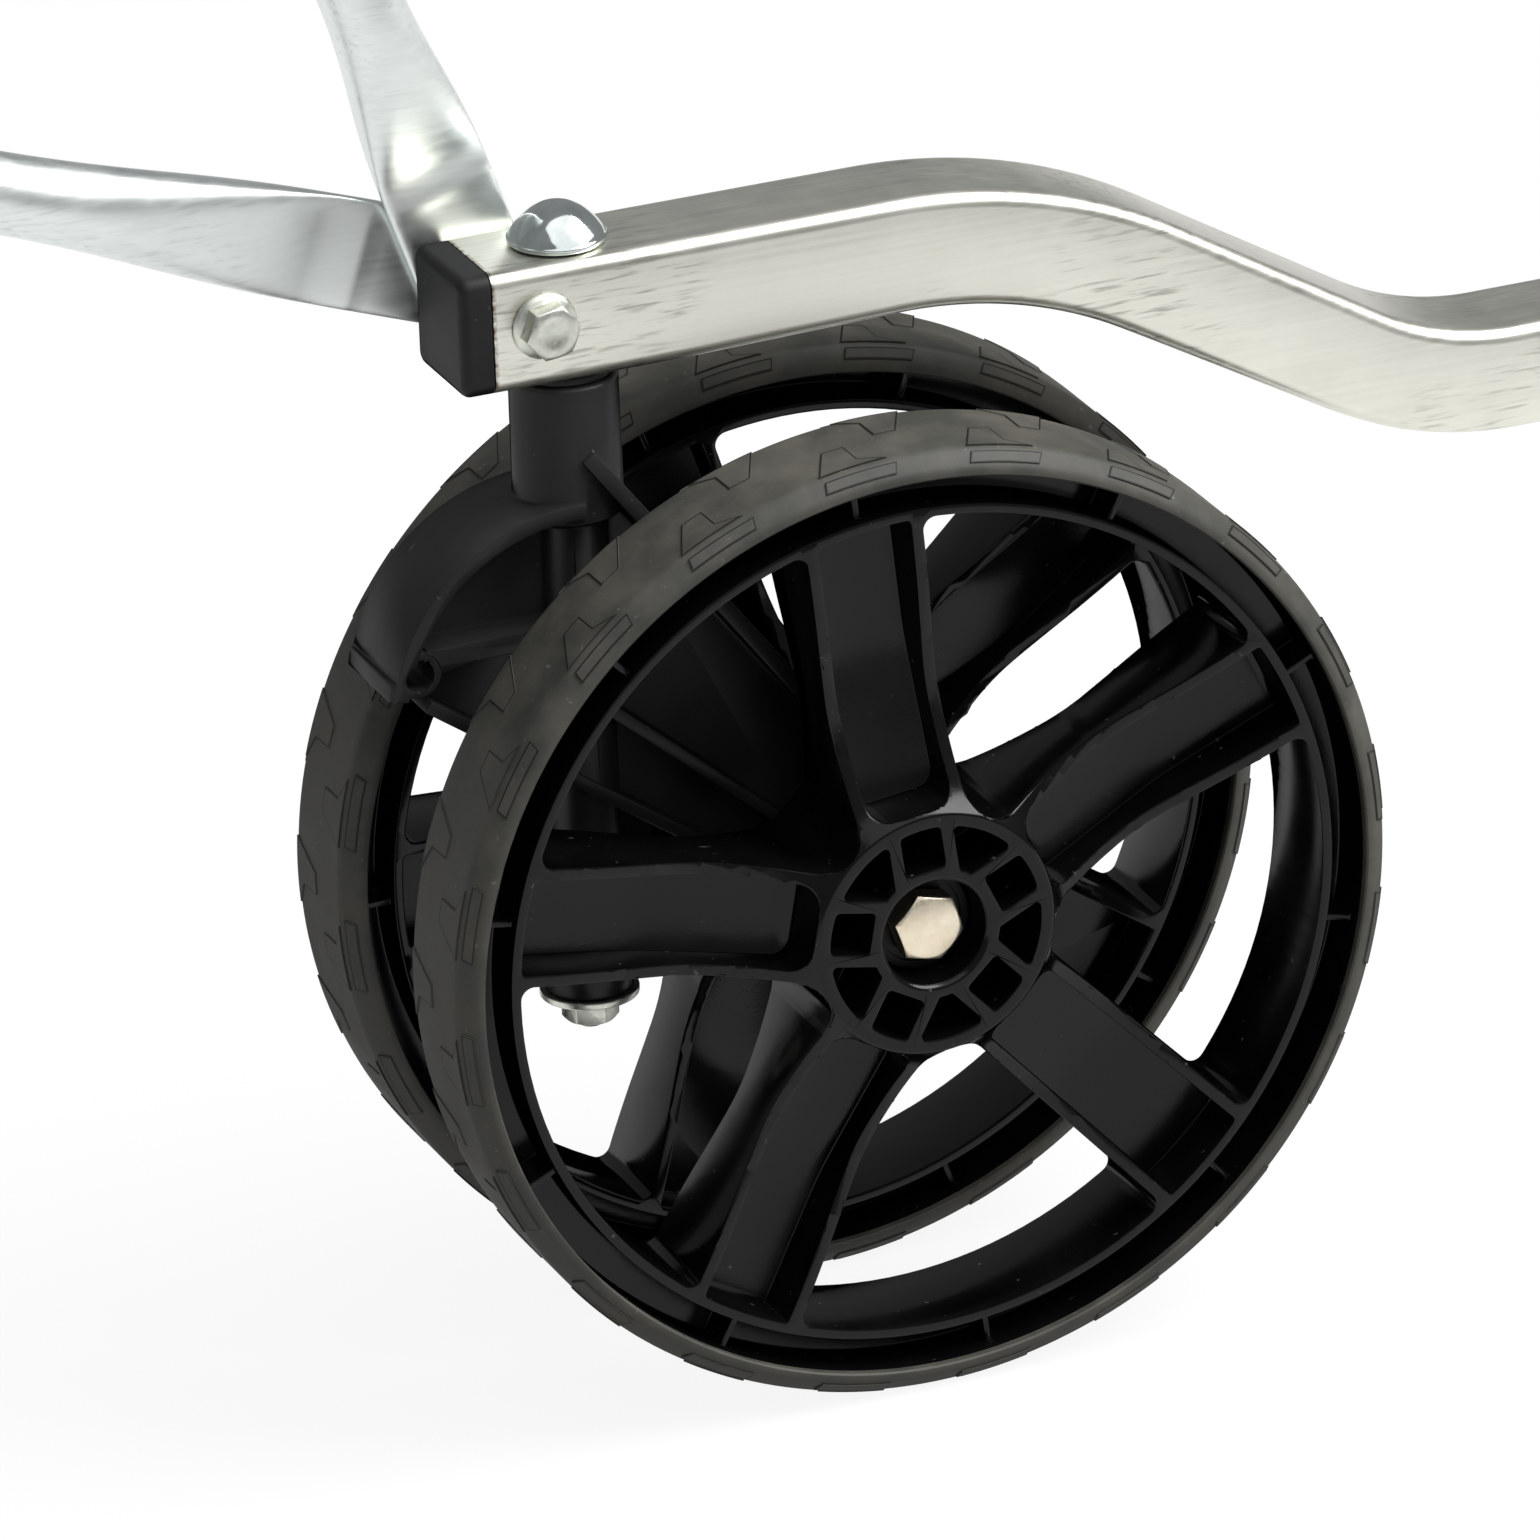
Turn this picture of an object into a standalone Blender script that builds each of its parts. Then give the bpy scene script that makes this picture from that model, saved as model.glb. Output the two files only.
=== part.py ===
# Twin-wheel swivel castor under the front end of a bent frame arm.
# Lengths are metres. The castor is laid out with its swivel axis at X = Y = 0 and the ground at Z = 0,
# +X along the arm towards the rear, +Y to the far wheel. Finished pieces are shifted to the mount point.
import math
import bpy
import bmesh
from mathutils import Matrix, Vector

for old in list(bpy.data.objects):
    bpy.data.objects.remove(old, do_unlink=True)

# Gap left between pieces that touch, and how far a cutter runs past the face it cuts
GAP = 0.0003
CUT_PAST = 0.0050
EDGE_CHAMFER = 0.0005

# Tyre and rim
WHEEL_RADIUS = 0.1000
WHEEL_SPACING = 0.0622
TRAIL = 0.0550
TYRE_WIDTH = 0.0288
TYRE_DEPTH = 0.0031
TYRE_LIP = 0.0018
SHOULDER_DROP = 0.0040
CROWN_DROP = 0.0016
BAND_THICKNESS = 0.0020
CHANNEL_DEPTH = 0.0064
CHANNEL_WEB = 0.0030
CHANNEL_RIB = 0.0014
RING_THICKNESS = 0.0021
RING_WIDTH = 0.0238
WHEEL_STEPS = 40

# Spokes
SPOKE_COUNT = 5
SPOKE_WIDTH_RIM = 0.0249
SPOKE_WIDTH_HUB = 0.0228
SPOKE_WALL = 0.0025
SPOKE_WEB = 0.0030
WAIST_RADIUS = 0.0520
WAIST_WIDTH = 0.0150
FLOOR_AT_HUB = 0.0060
FLOOR_AT_WAIST = 0.0006
FLOOR_AT_RIM = 0.0021
WINDOW_CORNER = 0.0025
POCKET_CORNER = 0.0030
POCKET_TO_HUB = 0.0006
NEAR_SPOKE_ANGLE = -47.0
FAR_SPOKE_ANGLE = 38.3

# Hub
HUB_RADIUS = 0.0252
HUB_WIDTH = 0.0334
HUB_WALL = 0.0026
HUB_RIB_SPACING = 0.0113
HUB_RIB = 0.0027
HUB_FLOOR = 0.0040
BEARING_SEAT_DIAMETER = 0.0220
BEARING_WALL = 0.0028
BEARING_WIDTH = 0.0070
SEAL_DEPTH = 0.0005

# Axle
AXLE_DIAMETER = 0.0080
AXLE_HEAD_FLATS = 0.0130
AXLE_HEAD_HEIGHT = 0.0053
AXLE_HEAD_SINK = 0.0028
AXLE_NUT_HEIGHT = 0.0065
AXLE_THREAD_PAST = 0.0012
SPACER_DIAMETER = 0.0120

# Frame arm
ARM_SIDE = 0.0250
ARM_WALL = 0.0020
ARM_CORNER = 0.0030
ARM_CLEARANCE = 0.0149
ARM_FRONT = 0.0188
ARM_STRAIGHT = 0.0670
ARM_BEND_ANGLE = 31.0
FIRST_BEND_RADIUS = 0.1050
SECOND_BEND_RADIUS = 0.0700
SLOPE_LENGTH = 0.0505
ARM_TAIL = 0.0380
ARM_TAIL_DEPTH = 0.0220
CAP_HEAD = 0.0064
CAP_PLUG = 0.0048
CAP_ROUND = 0.0018

# Struts and their bolt
STRUT_DIAMETER = 0.0160
STRUT_WALL = 0.0012
STRUT_TAB = 0.0024
UPPER_STRUT_RISE = 71.2
UPPER_STRUT_SHIFT = 0.0033
UPPER_STRUT_FLAT = 0.0220
UPPER_STRUT_TAPER = 0.0460
UPPER_STRUT_LENGTH = 0.0820
LOWER_STRUT_RISE = 19.7
LOWER_STRUT_FLAT = 0.0300
LOWER_STRUT_TAPER = 0.0780
LOWER_STRUT_LENGTH = 0.1200
STRUT_BOLT_AHEAD = 0.0083
STRUT_BOLT_RAISE = 0.0006
STRUT_BOLT_DIAMETER = 0.0060
STRUT_HEAD_FLATS = 0.0100
STRUT_HEAD_HEIGHT = 0.0040
STRUT_FLANGE_DIAMETER = 0.0135
STRUT_FLANGE = 0.0014
STRUT_WASHER = 0.0016
STRUT_NUT_HEIGHT = 0.0050
STRUT_THREAD_PAST = 0.0015

# Swivel
DOME_DIAMETER = 0.0200
DOME_HEIGHT = 0.0074
DOME_EDGE = 0.0010
PIN_DIAMETER = 0.0080
PIN_THREAD_DIAMETER = 0.0060
PIN_THREAD_ABOVE_END = 0.0030
PIN_THREAD_PAST = 0.0012
STEM_DIAMETER = 0.0217
SWIVEL_WASHER_DIAMETER = 0.0200
SWIVEL_WASHER = 0.0015
SWIVEL_NUT_FLATS = 0.0100
SWIVEL_NUT_HEIGHT = 0.0052
TUBE_DIAMETER = 0.0150
TUBE_COLLAR_DIAMETER = 0.0180
TUBE_COLLAR_HEIGHT = 0.0060
TUBE_COLLAR_TAPER = 0.0020
TUBE_BELOW_AXLE = 0.0180

# Yoke
YOKE_SIDE_ROOM = 0.0047
YOKE_WEB = 0.0044
YOKE_FLANGE = 0.0032
YOKE_RIB = 0.0026
LEVEL_RIB = 0.0042
SHOULDER_RADIUS = 0.0397
SHOULDER_AHEAD = 0.0035
SHOULDER_ABOVE_AXLE = 0.0493
AXLE_BOSS_RADIUS = 0.0165
HUB_ROOM = 0.0040
HUB_CLEARANCE = 0.0010
LINK_HOLE_DIAMETER = 0.0066
LINK_BOSS_DIAMETER = 0.0096
WEB_OVERLAP = 0.0020
WEB_BELOW_REAR = 0.0060

# Derived sizes
HALF_SPACING = WHEEL_SPACING / 2
AXLE_HEIGHT = WHEEL_RADIUS
BAND_OUTER = WHEEL_RADIUS - TYRE_DEPTH - GAP
BAND_INNER = BAND_OUTER - BAND_THICKNESS
BAND_HALF = TYRE_WIDTH / 2 - TYRE_LIP - GAP
RING_OUTER = BAND_INNER - CHANNEL_DEPTH
RING_INNER = RING_OUTER - RING_THICKNESS
RING_HALF = RING_WIDTH / 2
HUB_HALF = HUB_WIDTH / 2
HUB_FACE = HALF_SPACING + HUB_HALF
SEAT_RADIUS = BEARING_SEAT_DIAMETER / 2
HEAD_SEAT = HUB_FACE - AXLE_HEAD_SINK - AXLE_HEAD_HEIGHT
BEARING_OUT = HEAD_SEAT - GAP - HALF_SPACING
BEARING_IN = BEARING_OUT - BEARING_WIDTH
COLLAR_HALF = BEARING_IN - GAP
AXLE_HOLE = AXLE_DIAMETER / 2 + GAP
BOSS_HALF = HALF_SPACING - HUB_HALF - HUB_CLEARANCE
YOKE_HALF = HALF_SPACING - TYRE_WIDTH / 2 - YOKE_SIDE_ROOM
ARM_HALF = ARM_SIDE / 2
ARM_BOTTOM = 2 * WHEEL_RADIUS + ARM_CLEARANCE
ARM_MIDDLE = ARM_BOTTOM + ARM_HALF
ARM_TOP = ARM_BOTTOM + ARM_SIDE
BOLT_X = -STRUT_BOLT_AHEAD
BOLT_Z = ARM_MIDDLE + STRUT_BOLT_RAISE
UPPER_TAB_MIDDLE = ARM_HALF + GAP + STRUT_TAB / 2
LOWER_TAB_MIDDLE = UPPER_TAB_MIDDLE + STRUT_TAB + GAP
WASHER_START = LOWER_TAB_MIDDLE + STRUT_TAB / 2 + GAP
NUT_START = WASHER_START + STRUT_WASHER + GAP
STEM_TOP = ARM_BOTTOM - 2 * GAP - SWIVEL_WASHER
TUBE_END = AXLE_HEIGHT - TUBE_BELOW_AXLE
SHOULDER_X = -SHOULDER_AHEAD
SHOULDER_Z = AXLE_HEIGHT + SHOULDER_ABOVE_AXLE
SHOULDER_TOP = SHOULDER_Z + SHOULDER_RADIUS
PIN_HOLE = PIN_DIAMETER / 2 + GAP

UPRIGHT = Matrix.Identity(4)
SIDEWAYS = Matrix(((1, 0, 0, 0), (0, 0, 1, 0), (0, -1, 0, 0), (0, 0, 0, 1)))
SIDE_PLAN = Matrix(((1, 0, 0, 0), (0, 0, 1, 0), (0, 1, 0, 0), (0, 0, 0, 1)))


def at(x, y, z):
    return Matrix.Translation(Vector((x, y, z)))


# Shape builders: each adds one closed body to a mesh under construction
def add_rings(shape, rings, closed):
    count = len(rings)
    last = count if closed else count - 1
    for index in range(last):
        first = rings[index]
        second = rings[(index + 1) % count]
        steps = max(len(first), len(second))
        for step in range(steps):
            after = (step + 1) % steps
            if len(first) == 1:
                shape.faces.new((first[0], second[step], second[after]))
            elif len(second) == 1:
                shape.faces.new((first[step], second[0], first[after]))
            else:
                shape.faces.new((first[step], second[step], second[after], first[after]))


def add_turned(shape, profile, place, steps, closed=True):
    rings = []
    for radius, height in profile:
        if radius < 1e-9:
            rings.append([shape.verts.new(place @ Vector((0, 0, height)))])
            continue
        ring = []
        for step in range(steps):
            turn = 2 * math.pi * step / steps
            point = Vector((radius * math.cos(turn), radius * math.sin(turn), height))
            ring.append(shape.verts.new(place @ point))
        rings.append(ring)
    add_rings(shape, rings, closed)


def add_loft(shape, sections):
    rings = [[shape.verts.new(point) for point in section] for section in sections]
    add_rings(shape, rings, False)
    shape.faces.new(rings[0])
    shape.faces.new(rings[-1])


def add_prism(shape, outline, place, low, high):
    sections = []
    for level in (low, high):
        sections.append([place @ Vector((u, v, level)) for u, v in outline])
    add_loft(shape, sections)


def add_hex(shape, flats, low, high, place, phase=30):
    corner = flats / math.sqrt(3)
    chamfer = 0.07 * flats * (1 if high > low else -1)
    sections = []
    for level, size in ((low, corner), (high - chamfer, corner), (high, 0.9 * corner)):
        section = []
        for step in range(6):
            turn = math.radians(60 * step + phase)
            section.append(place @ Vector((size * math.cos(turn), size * math.sin(turn), level)))
        sections.append(section)
    add_loft(shape, sections)


def add_rod(shape, radius, low, high, place, steps=24):
    add_turned(shape, [(0, low), (radius, low), (radius, high), (0, high)], place, steps, closed=False)


def add_pipe(shape, outer, inner, low, high, place, steps=24):
    add_turned(shape, [(outer, low), (outer, high), (inner, high), (inner, low)], place, steps)


def rounded(points, radii, steps=3):
    result = []
    count = len(points)
    for index, (u, v) in enumerate(points):
        radius = radii[index]
        if radius == 0:
            result.append((u, v))
            continue
        here = Vector((u, v))
        back = (Vector(points[index - 1]) - here).normalized()
        ahead = (Vector(points[(index + 1) % count]) - here).normalized()
        half = math.acos(max(-1.0, min(1.0, back.dot(ahead)))) / 2
        reach = radius / math.tan(half)
        centre = here + (back + ahead).normalized() * (radius / math.sin(half))
        start = here + back * reach - centre
        end = here + ahead * reach - centre
        sweep = start.angle_signed(end)
        for step in range(steps + 1):
            turn = -sweep * step / steps
            c, s = math.cos(turn), math.sin(turn)
            result.append((centre.x + c * start.x - s * start.y, centre.y + s * start.x + c * start.y))
    return result


def arc(radius, first, last, steps):
    points = []
    for step in range(steps + 1):
        turn = first + (last - first) * step / steps
        points.append((radius * math.cos(turn), radius * math.sin(turn)))
    return points


# Object handling
def solid(name, shape):
    bmesh.ops.recalc_face_normals(shape, faces=shape.faces[:])
    mesh = bpy.data.meshes.new(name)
    shape.to_mesh(mesh)
    shape.free()
    item = bpy.data.objects.new(name, mesh)
    bpy.context.scene.collection.objects.link(item)
    return item


def combine(item, other, operation):
    modifier = item.modifiers.new("combine", "BOOLEAN")
    modifier.operation = operation
    modifier.solver = "EXACT"
    modifier.object = other
    graph = bpy.context.evaluated_depsgraph_get()
    mesh = bpy.data.meshes.new_from_object(item.evaluated_get(graph))
    item.modifiers.clear()
    item.data = mesh
    bpy.data.objects.remove(other, do_unlink=True)


def cut_hole(item, radius, low, high, place, steps=24):
    shape = bmesh.new()
    add_rod(shape, radius, low, high, place, steps)
    combine(item, solid("cutter", shape), "DIFFERENCE")


def arm_path():
    bend = math.radians(ARM_BEND_ANGLE)
    steps = 7
    x, z = ARM_STRAIGHT, ARM_MIDDLE
    stations = [(-ARM_FRONT, z, 0.0), (STEM_DIAMETER, z, 0.0)]
    for step in range(steps + 1):
        turn = bend * step / steps
        drop = FIRST_BEND_RADIUS * (1 - math.cos(turn))
        stations.append((x + FIRST_BEND_RADIUS * math.sin(turn), z - drop, turn))
    x, z, turn = stations[-1]
    x += SLOPE_LENGTH * math.cos(bend)
    z -= SLOPE_LENGTH * math.sin(bend)
    for step in range(steps + 1):
        turn = bend * (1 - step / steps)
        run = SECOND_BEND_RADIUS * (math.sin(bend) - math.sin(turn))
        drop = SECOND_BEND_RADIUS * (math.cos(turn) - math.cos(bend))
        stations.append((x + run, z - drop, turn))
    x, z, turn = stations[-1]
    stations.append((x + ARM_TAIL, z, 0.0))
    return stations


ARM_STATIONS = arm_path()
ARM_END_X, ARM_END_Z, ARM_END_TURN = ARM_STATIONS[-1]
MOUNT_POINT = Vector((ARM_END_X - ARM_TAIL / 2, 0, ARM_END_Z + ARM_HALF))
SWIVEL_POINT = Vector((0, 0, AXLE_HEIGHT))


def finish(item, pivot, colour, metallic, roughness):
    item.data.transform(Matrix.Translation(-pivot))
    item.location = pivot - MOUNT_POINT
    material = bpy.data.materials.new(item.name)
    material.use_nodes = True
    shader = material.node_tree.nodes["Principled BSDF"]
    shader.inputs["Base Color"].default_value = (*colour, 1)
    shader.inputs["Metallic"].default_value = metallic
    shader.inputs["Roughness"].default_value = roughness
    item.data.materials.clear()
    item.data.materials.append(material)


def finish_zinc(item, pivot):
    finish(item, pivot, (0.62, 0.64, 0.61), 1.0, 0.35)


def finish_plastic(item, pivot):
    finish(item, pivot, (0.012, 0.012, 0.013), 0.0, 0.45)


# Frame arm and end cap
def square_section(side, corner):
    half = side / 2
    corners = [(half, half), (-half, half), (-half, -half), (half, -half)]
    return rounded(corners, [corner] * 4, 2)


# The tube draws in on its lower side as it is bent, down to the tail depth
def drawn_in(x):
    full = ARM_END_X - ARM_TAIL - STEM_DIAMETER
    part = max(0.0, min(1.0, (x - STEM_DIAMETER) / (0.8 * full)))
    return part * (ARM_SIDE - ARM_TAIL_DEPTH)


def build_arm():
    shape = bmesh.new()
    outer = []
    inner = []
    for x, z, turn in ARM_STATIONS:
        up = Vector((math.sin(turn), 0, math.cos(turn)))
        middle = Vector((x, 0, z))
        for rings, side, corner in ((outer, ARM_SIDE, ARM_CORNER),
                                    (inner, ARM_SIDE - 2 * ARM_WALL, ARM_CORNER - 0.9 * ARM_WALL)):
            ring = []
            for v, w in square_section(side, corner):
                lift = drawn_in(x) if w < 0 else 0.0
                ring.append(shape.verts.new(middle + Vector((0, v, 0)) + up * (w + lift)))
            rings.append(ring)
    add_rings(shape, outer + inner[::-1], True)
    item = solid("frame_arm", shape)
    cut_hole(item, PIN_HOLE, ARM_BOTTOM - CUT_PAST, ARM_TOP + CUT_PAST, UPRIGHT)
    cut_hole(item, STRUT_BOLT_DIAMETER / 2 + GAP, -ARM_SIDE, ARM_SIDE, at(BOLT_X, 0, BOLT_Z) @ SIDEWAYS)
    finish_zinc(item, MOUNT_POINT)


def build_cap():
    shape = bmesh.new()
    plug_side = ARM_SIDE - 2 * ARM_WALL - 2 * GAP
    plug_corner = ARM_CORNER - 0.9 * ARM_WALL
    face = -ARM_FRONT - GAP
    levels = [(face - CAP_HEAD, ARM_SIDE - 2 * CAP_ROUND, ARM_CORNER),
              (face - CAP_HEAD + 0.3 * CAP_ROUND, ARM_SIDE - 0.7 * CAP_ROUND, ARM_CORNER),
              (face - CAP_HEAD + CAP_ROUND, ARM_SIDE, ARM_CORNER),
              (face, ARM_SIDE, ARM_CORNER),
              (face, plug_side, plug_corner),
              (face + CAP_PLUG, plug_side, plug_corner)]
    sections = []
    for x, side, corner in levels:
        sections.append([Vector((x, v, ARM_MIDDLE + w)) for v, w in square_section(side, corner)])
    add_loft(shape, sections)
    finish_plastic(solid("arm_end_cap", shape), MOUNT_POINT)


# Struts: round tubes with one flattened end on the strut bolt
def strut_section(half_width, half_depth, power):
    points = []
    for step in range(16):
        turn = 2 * math.pi * (step + 0.5) / 16
        c, s = math.cos(turn), math.sin(turn)
        u = math.copysign(abs(c) ** (2 / power), c) * half_width
        v = math.copysign(abs(s) ** (2 / power), s) * half_depth
        points.append((u, v))
    return points


def build_strut(name, rise, shift, tab_middle, flat, taper, length):
    radius = STRUT_DIAMETER / 2
    flat_half = math.sqrt(2) * radius
    angle = math.radians(rise)
    along = Vector((-math.cos(angle), 0, math.sin(angle)))
    across = Vector((math.sin(angle), 0, math.cos(angle)))
    start = Vector((BOLT_X - shift, tab_middle, BOLT_Z))
    stations = []
    for part in (-0.94, -0.82, -0.6, -0.3, 0.0):
        stations.append((part * flat_half, flat_half * math.sqrt(1 - part * part), 0.0))
    for step in range(8):
        blend = step / 7
        ease = blend * blend * (3 - 2 * blend)
        stations.append((flat + taper * blend, flat_half + (radius - flat_half) * ease, ease))
    stations.append((length, radius, 1.0))
    shape = bmesh.new()
    outer = []
    inner = []
    for distance, half_width, ease in stations:
        half_depth = max(math.sqrt(max(2 * radius ** 2 - half_width ** 2, 0)), STRUT_TAB / 2)
        if ease == 0:
            half_depth = STRUT_TAB / 2
        power = 2 + 5 * (1 - ease) ** 2
        middle = start + along * distance
        ring = []
        for u, v in strut_section(half_width, half_depth, power):
            ring.append(shape.verts.new(middle + across * u + Vector((0, v, 0))))
        outer.append(ring)
        if half_depth > 2 * STRUT_WALL and ease > 0:
            hollow = []
            for u, v in strut_section(half_width - STRUT_WALL, half_depth - STRUT_WALL, power):
                hollow.append(shape.verts.new(middle + across * u + Vector((0, v, 0))))
            inner.append(hollow)
    add_rings(shape, outer + inner[::-1], False)
    shape.faces.new(outer[0])
    shape.faces.new(inner[0])
    item = solid(name, shape)
    low = tab_middle - STRUT_TAB
    high = tab_middle + STRUT_TAB
    cut_hole(item, STRUT_BOLT_DIAMETER / 2 + GAP, low, high, at(BOLT_X, 0, BOLT_Z) @ SIDEWAYS)
    finish_zinc(item, MOUNT_POINT)


def build_strut_bolt():
    place = at(BOLT_X, 0, BOLT_Z) @ SIDEWAYS
    face = -ARM_HALF - GAP
    shank = STRUT_BOLT_DIAMETER / 2
    flange = STRUT_FLANGE_DIAMETER / 2
    end = NUT_START + STRUT_NUT_HEIGHT + STRUT_THREAD_PAST
    shape = bmesh.new()
    profile = [(0, face - STRUT_FLANGE), (0.88 * flange, face - STRUT_FLANGE)]
    profile += [(flange, face - 0.3 * STRUT_FLANGE), (flange, face), (shank, face)]
    profile += [(shank, end - EDGE_CHAMFER), (0.85 * shank, end), (0, end)]
    add_turned(shape, profile, place, 24, closed=False)
    item = solid("strut_bolt", shape)
    shape = bmesh.new()
    low = face - 0.5 * STRUT_FLANGE
    add_hex(shape, STRUT_HEAD_FLATS, low, face - STRUT_FLANGE - STRUT_HEAD_HEIGHT, place)
    combine(item, solid("head", shape), "UNION")
    finish_zinc(item, MOUNT_POINT)

    shape = bmesh.new()
    hole = shank + GAP
    washer = 2 * shank
    add_pipe(shape, washer, hole, WASHER_START, WASHER_START + STRUT_WASHER, place)
    finish_zinc(solid("strut_washer", shape), MOUNT_POINT)
    nut_end = NUT_START + STRUT_NUT_HEIGHT
    build_nut("strut_nut", STRUT_HEAD_FLATS, NUT_START, nut_end, hole, place, MOUNT_POINT)


def build_nut(name, flats, low, high, hole, place, pivot):
    shape = bmesh.new()
    add_hex(shape, flats, low, high, place)
    item = solid(name, shape)
    cut_hole(item, hole, min(low, high) - CUT_PAST, max(low, high) + CUT_PAST, place, 20)
    finish_zinc(item, pivot)


# Swivel pin, washers and nut
def build_swivel():
    base = ARM_TOP + GAP
    dome = DOME_DIAMETER / 2
    shank = PIN_DIAMETER / 2
    thread = PIN_THREAD_DIAMETER / 2
    washer_top = TUBE_END - GAP
    washer_low = washer_top - SWIVEL_WASHER
    nut_low = washer_low - GAP - SWIVEL_NUT_HEIGHT
    rise = DOME_HEIGHT - DOME_EDGE
    profile = [(0, base + DOME_HEIGHT)]
    for part in (0.24, 0.5, 0.72, 0.88, 0.97):
        profile.append((part * dome, base + DOME_EDGE + rise * (1 - part ** 2.4)))
    profile += [(dome, base + DOME_EDGE), (0.96 * dome, base), (shank, base)]
    thread_top = TUBE_END + PIN_THREAD_ABOVE_END
    profile += [(shank, thread_top + EDGE_CHAMFER), (thread, thread_top)]
    tip = nut_low - PIN_THREAD_PAST
    profile += [(thread, tip + EDGE_CHAMFER), (0.8 * thread, tip), (0, tip)]
    shape = bmesh.new()
    add_turned(shape, profile, UPRIGHT, 24, closed=False)
    finish_zinc(solid("swivel_pin", shape), MOUNT_POINT)

    washer = SWIVEL_WASHER_DIAMETER / 2
    shape = bmesh.new()
    add_pipe(shape, washer, PIN_HOLE, STEM_TOP + GAP, STEM_TOP + GAP + SWIVEL_WASHER, UPRIGHT)
    finish_plastic(solid("swivel_top_washer", shape), MOUNT_POINT)
    shape = bmesh.new()
    add_pipe(shape, washer, thread + GAP, washer_low, washer_top, UPRIGHT)
    finish_zinc(solid("swivel_bottom_washer", shape), MOUNT_POINT)
    build_nut("swivel_nut", SWIVEL_NUT_FLATS, washer_low - GAP, nut_low, thread + GAP, UPRIGHT, MOUNT_POINT)


# Yoke: stem, swivel tube, web, flanges and ribs in one moulding
def slab(shape, start, end, thickness, half):
    first = Vector(start)
    last = Vector(end)
    side = (last - first).normalized()
    side = Vector((-side.y, side.x)) * (thickness / 2)
    outline = [first + side, first - side, last - side, last + side]
    add_prism(shape, [(point.x, point.y) for point in outline], SIDE_PLAN, -half, half)


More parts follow.
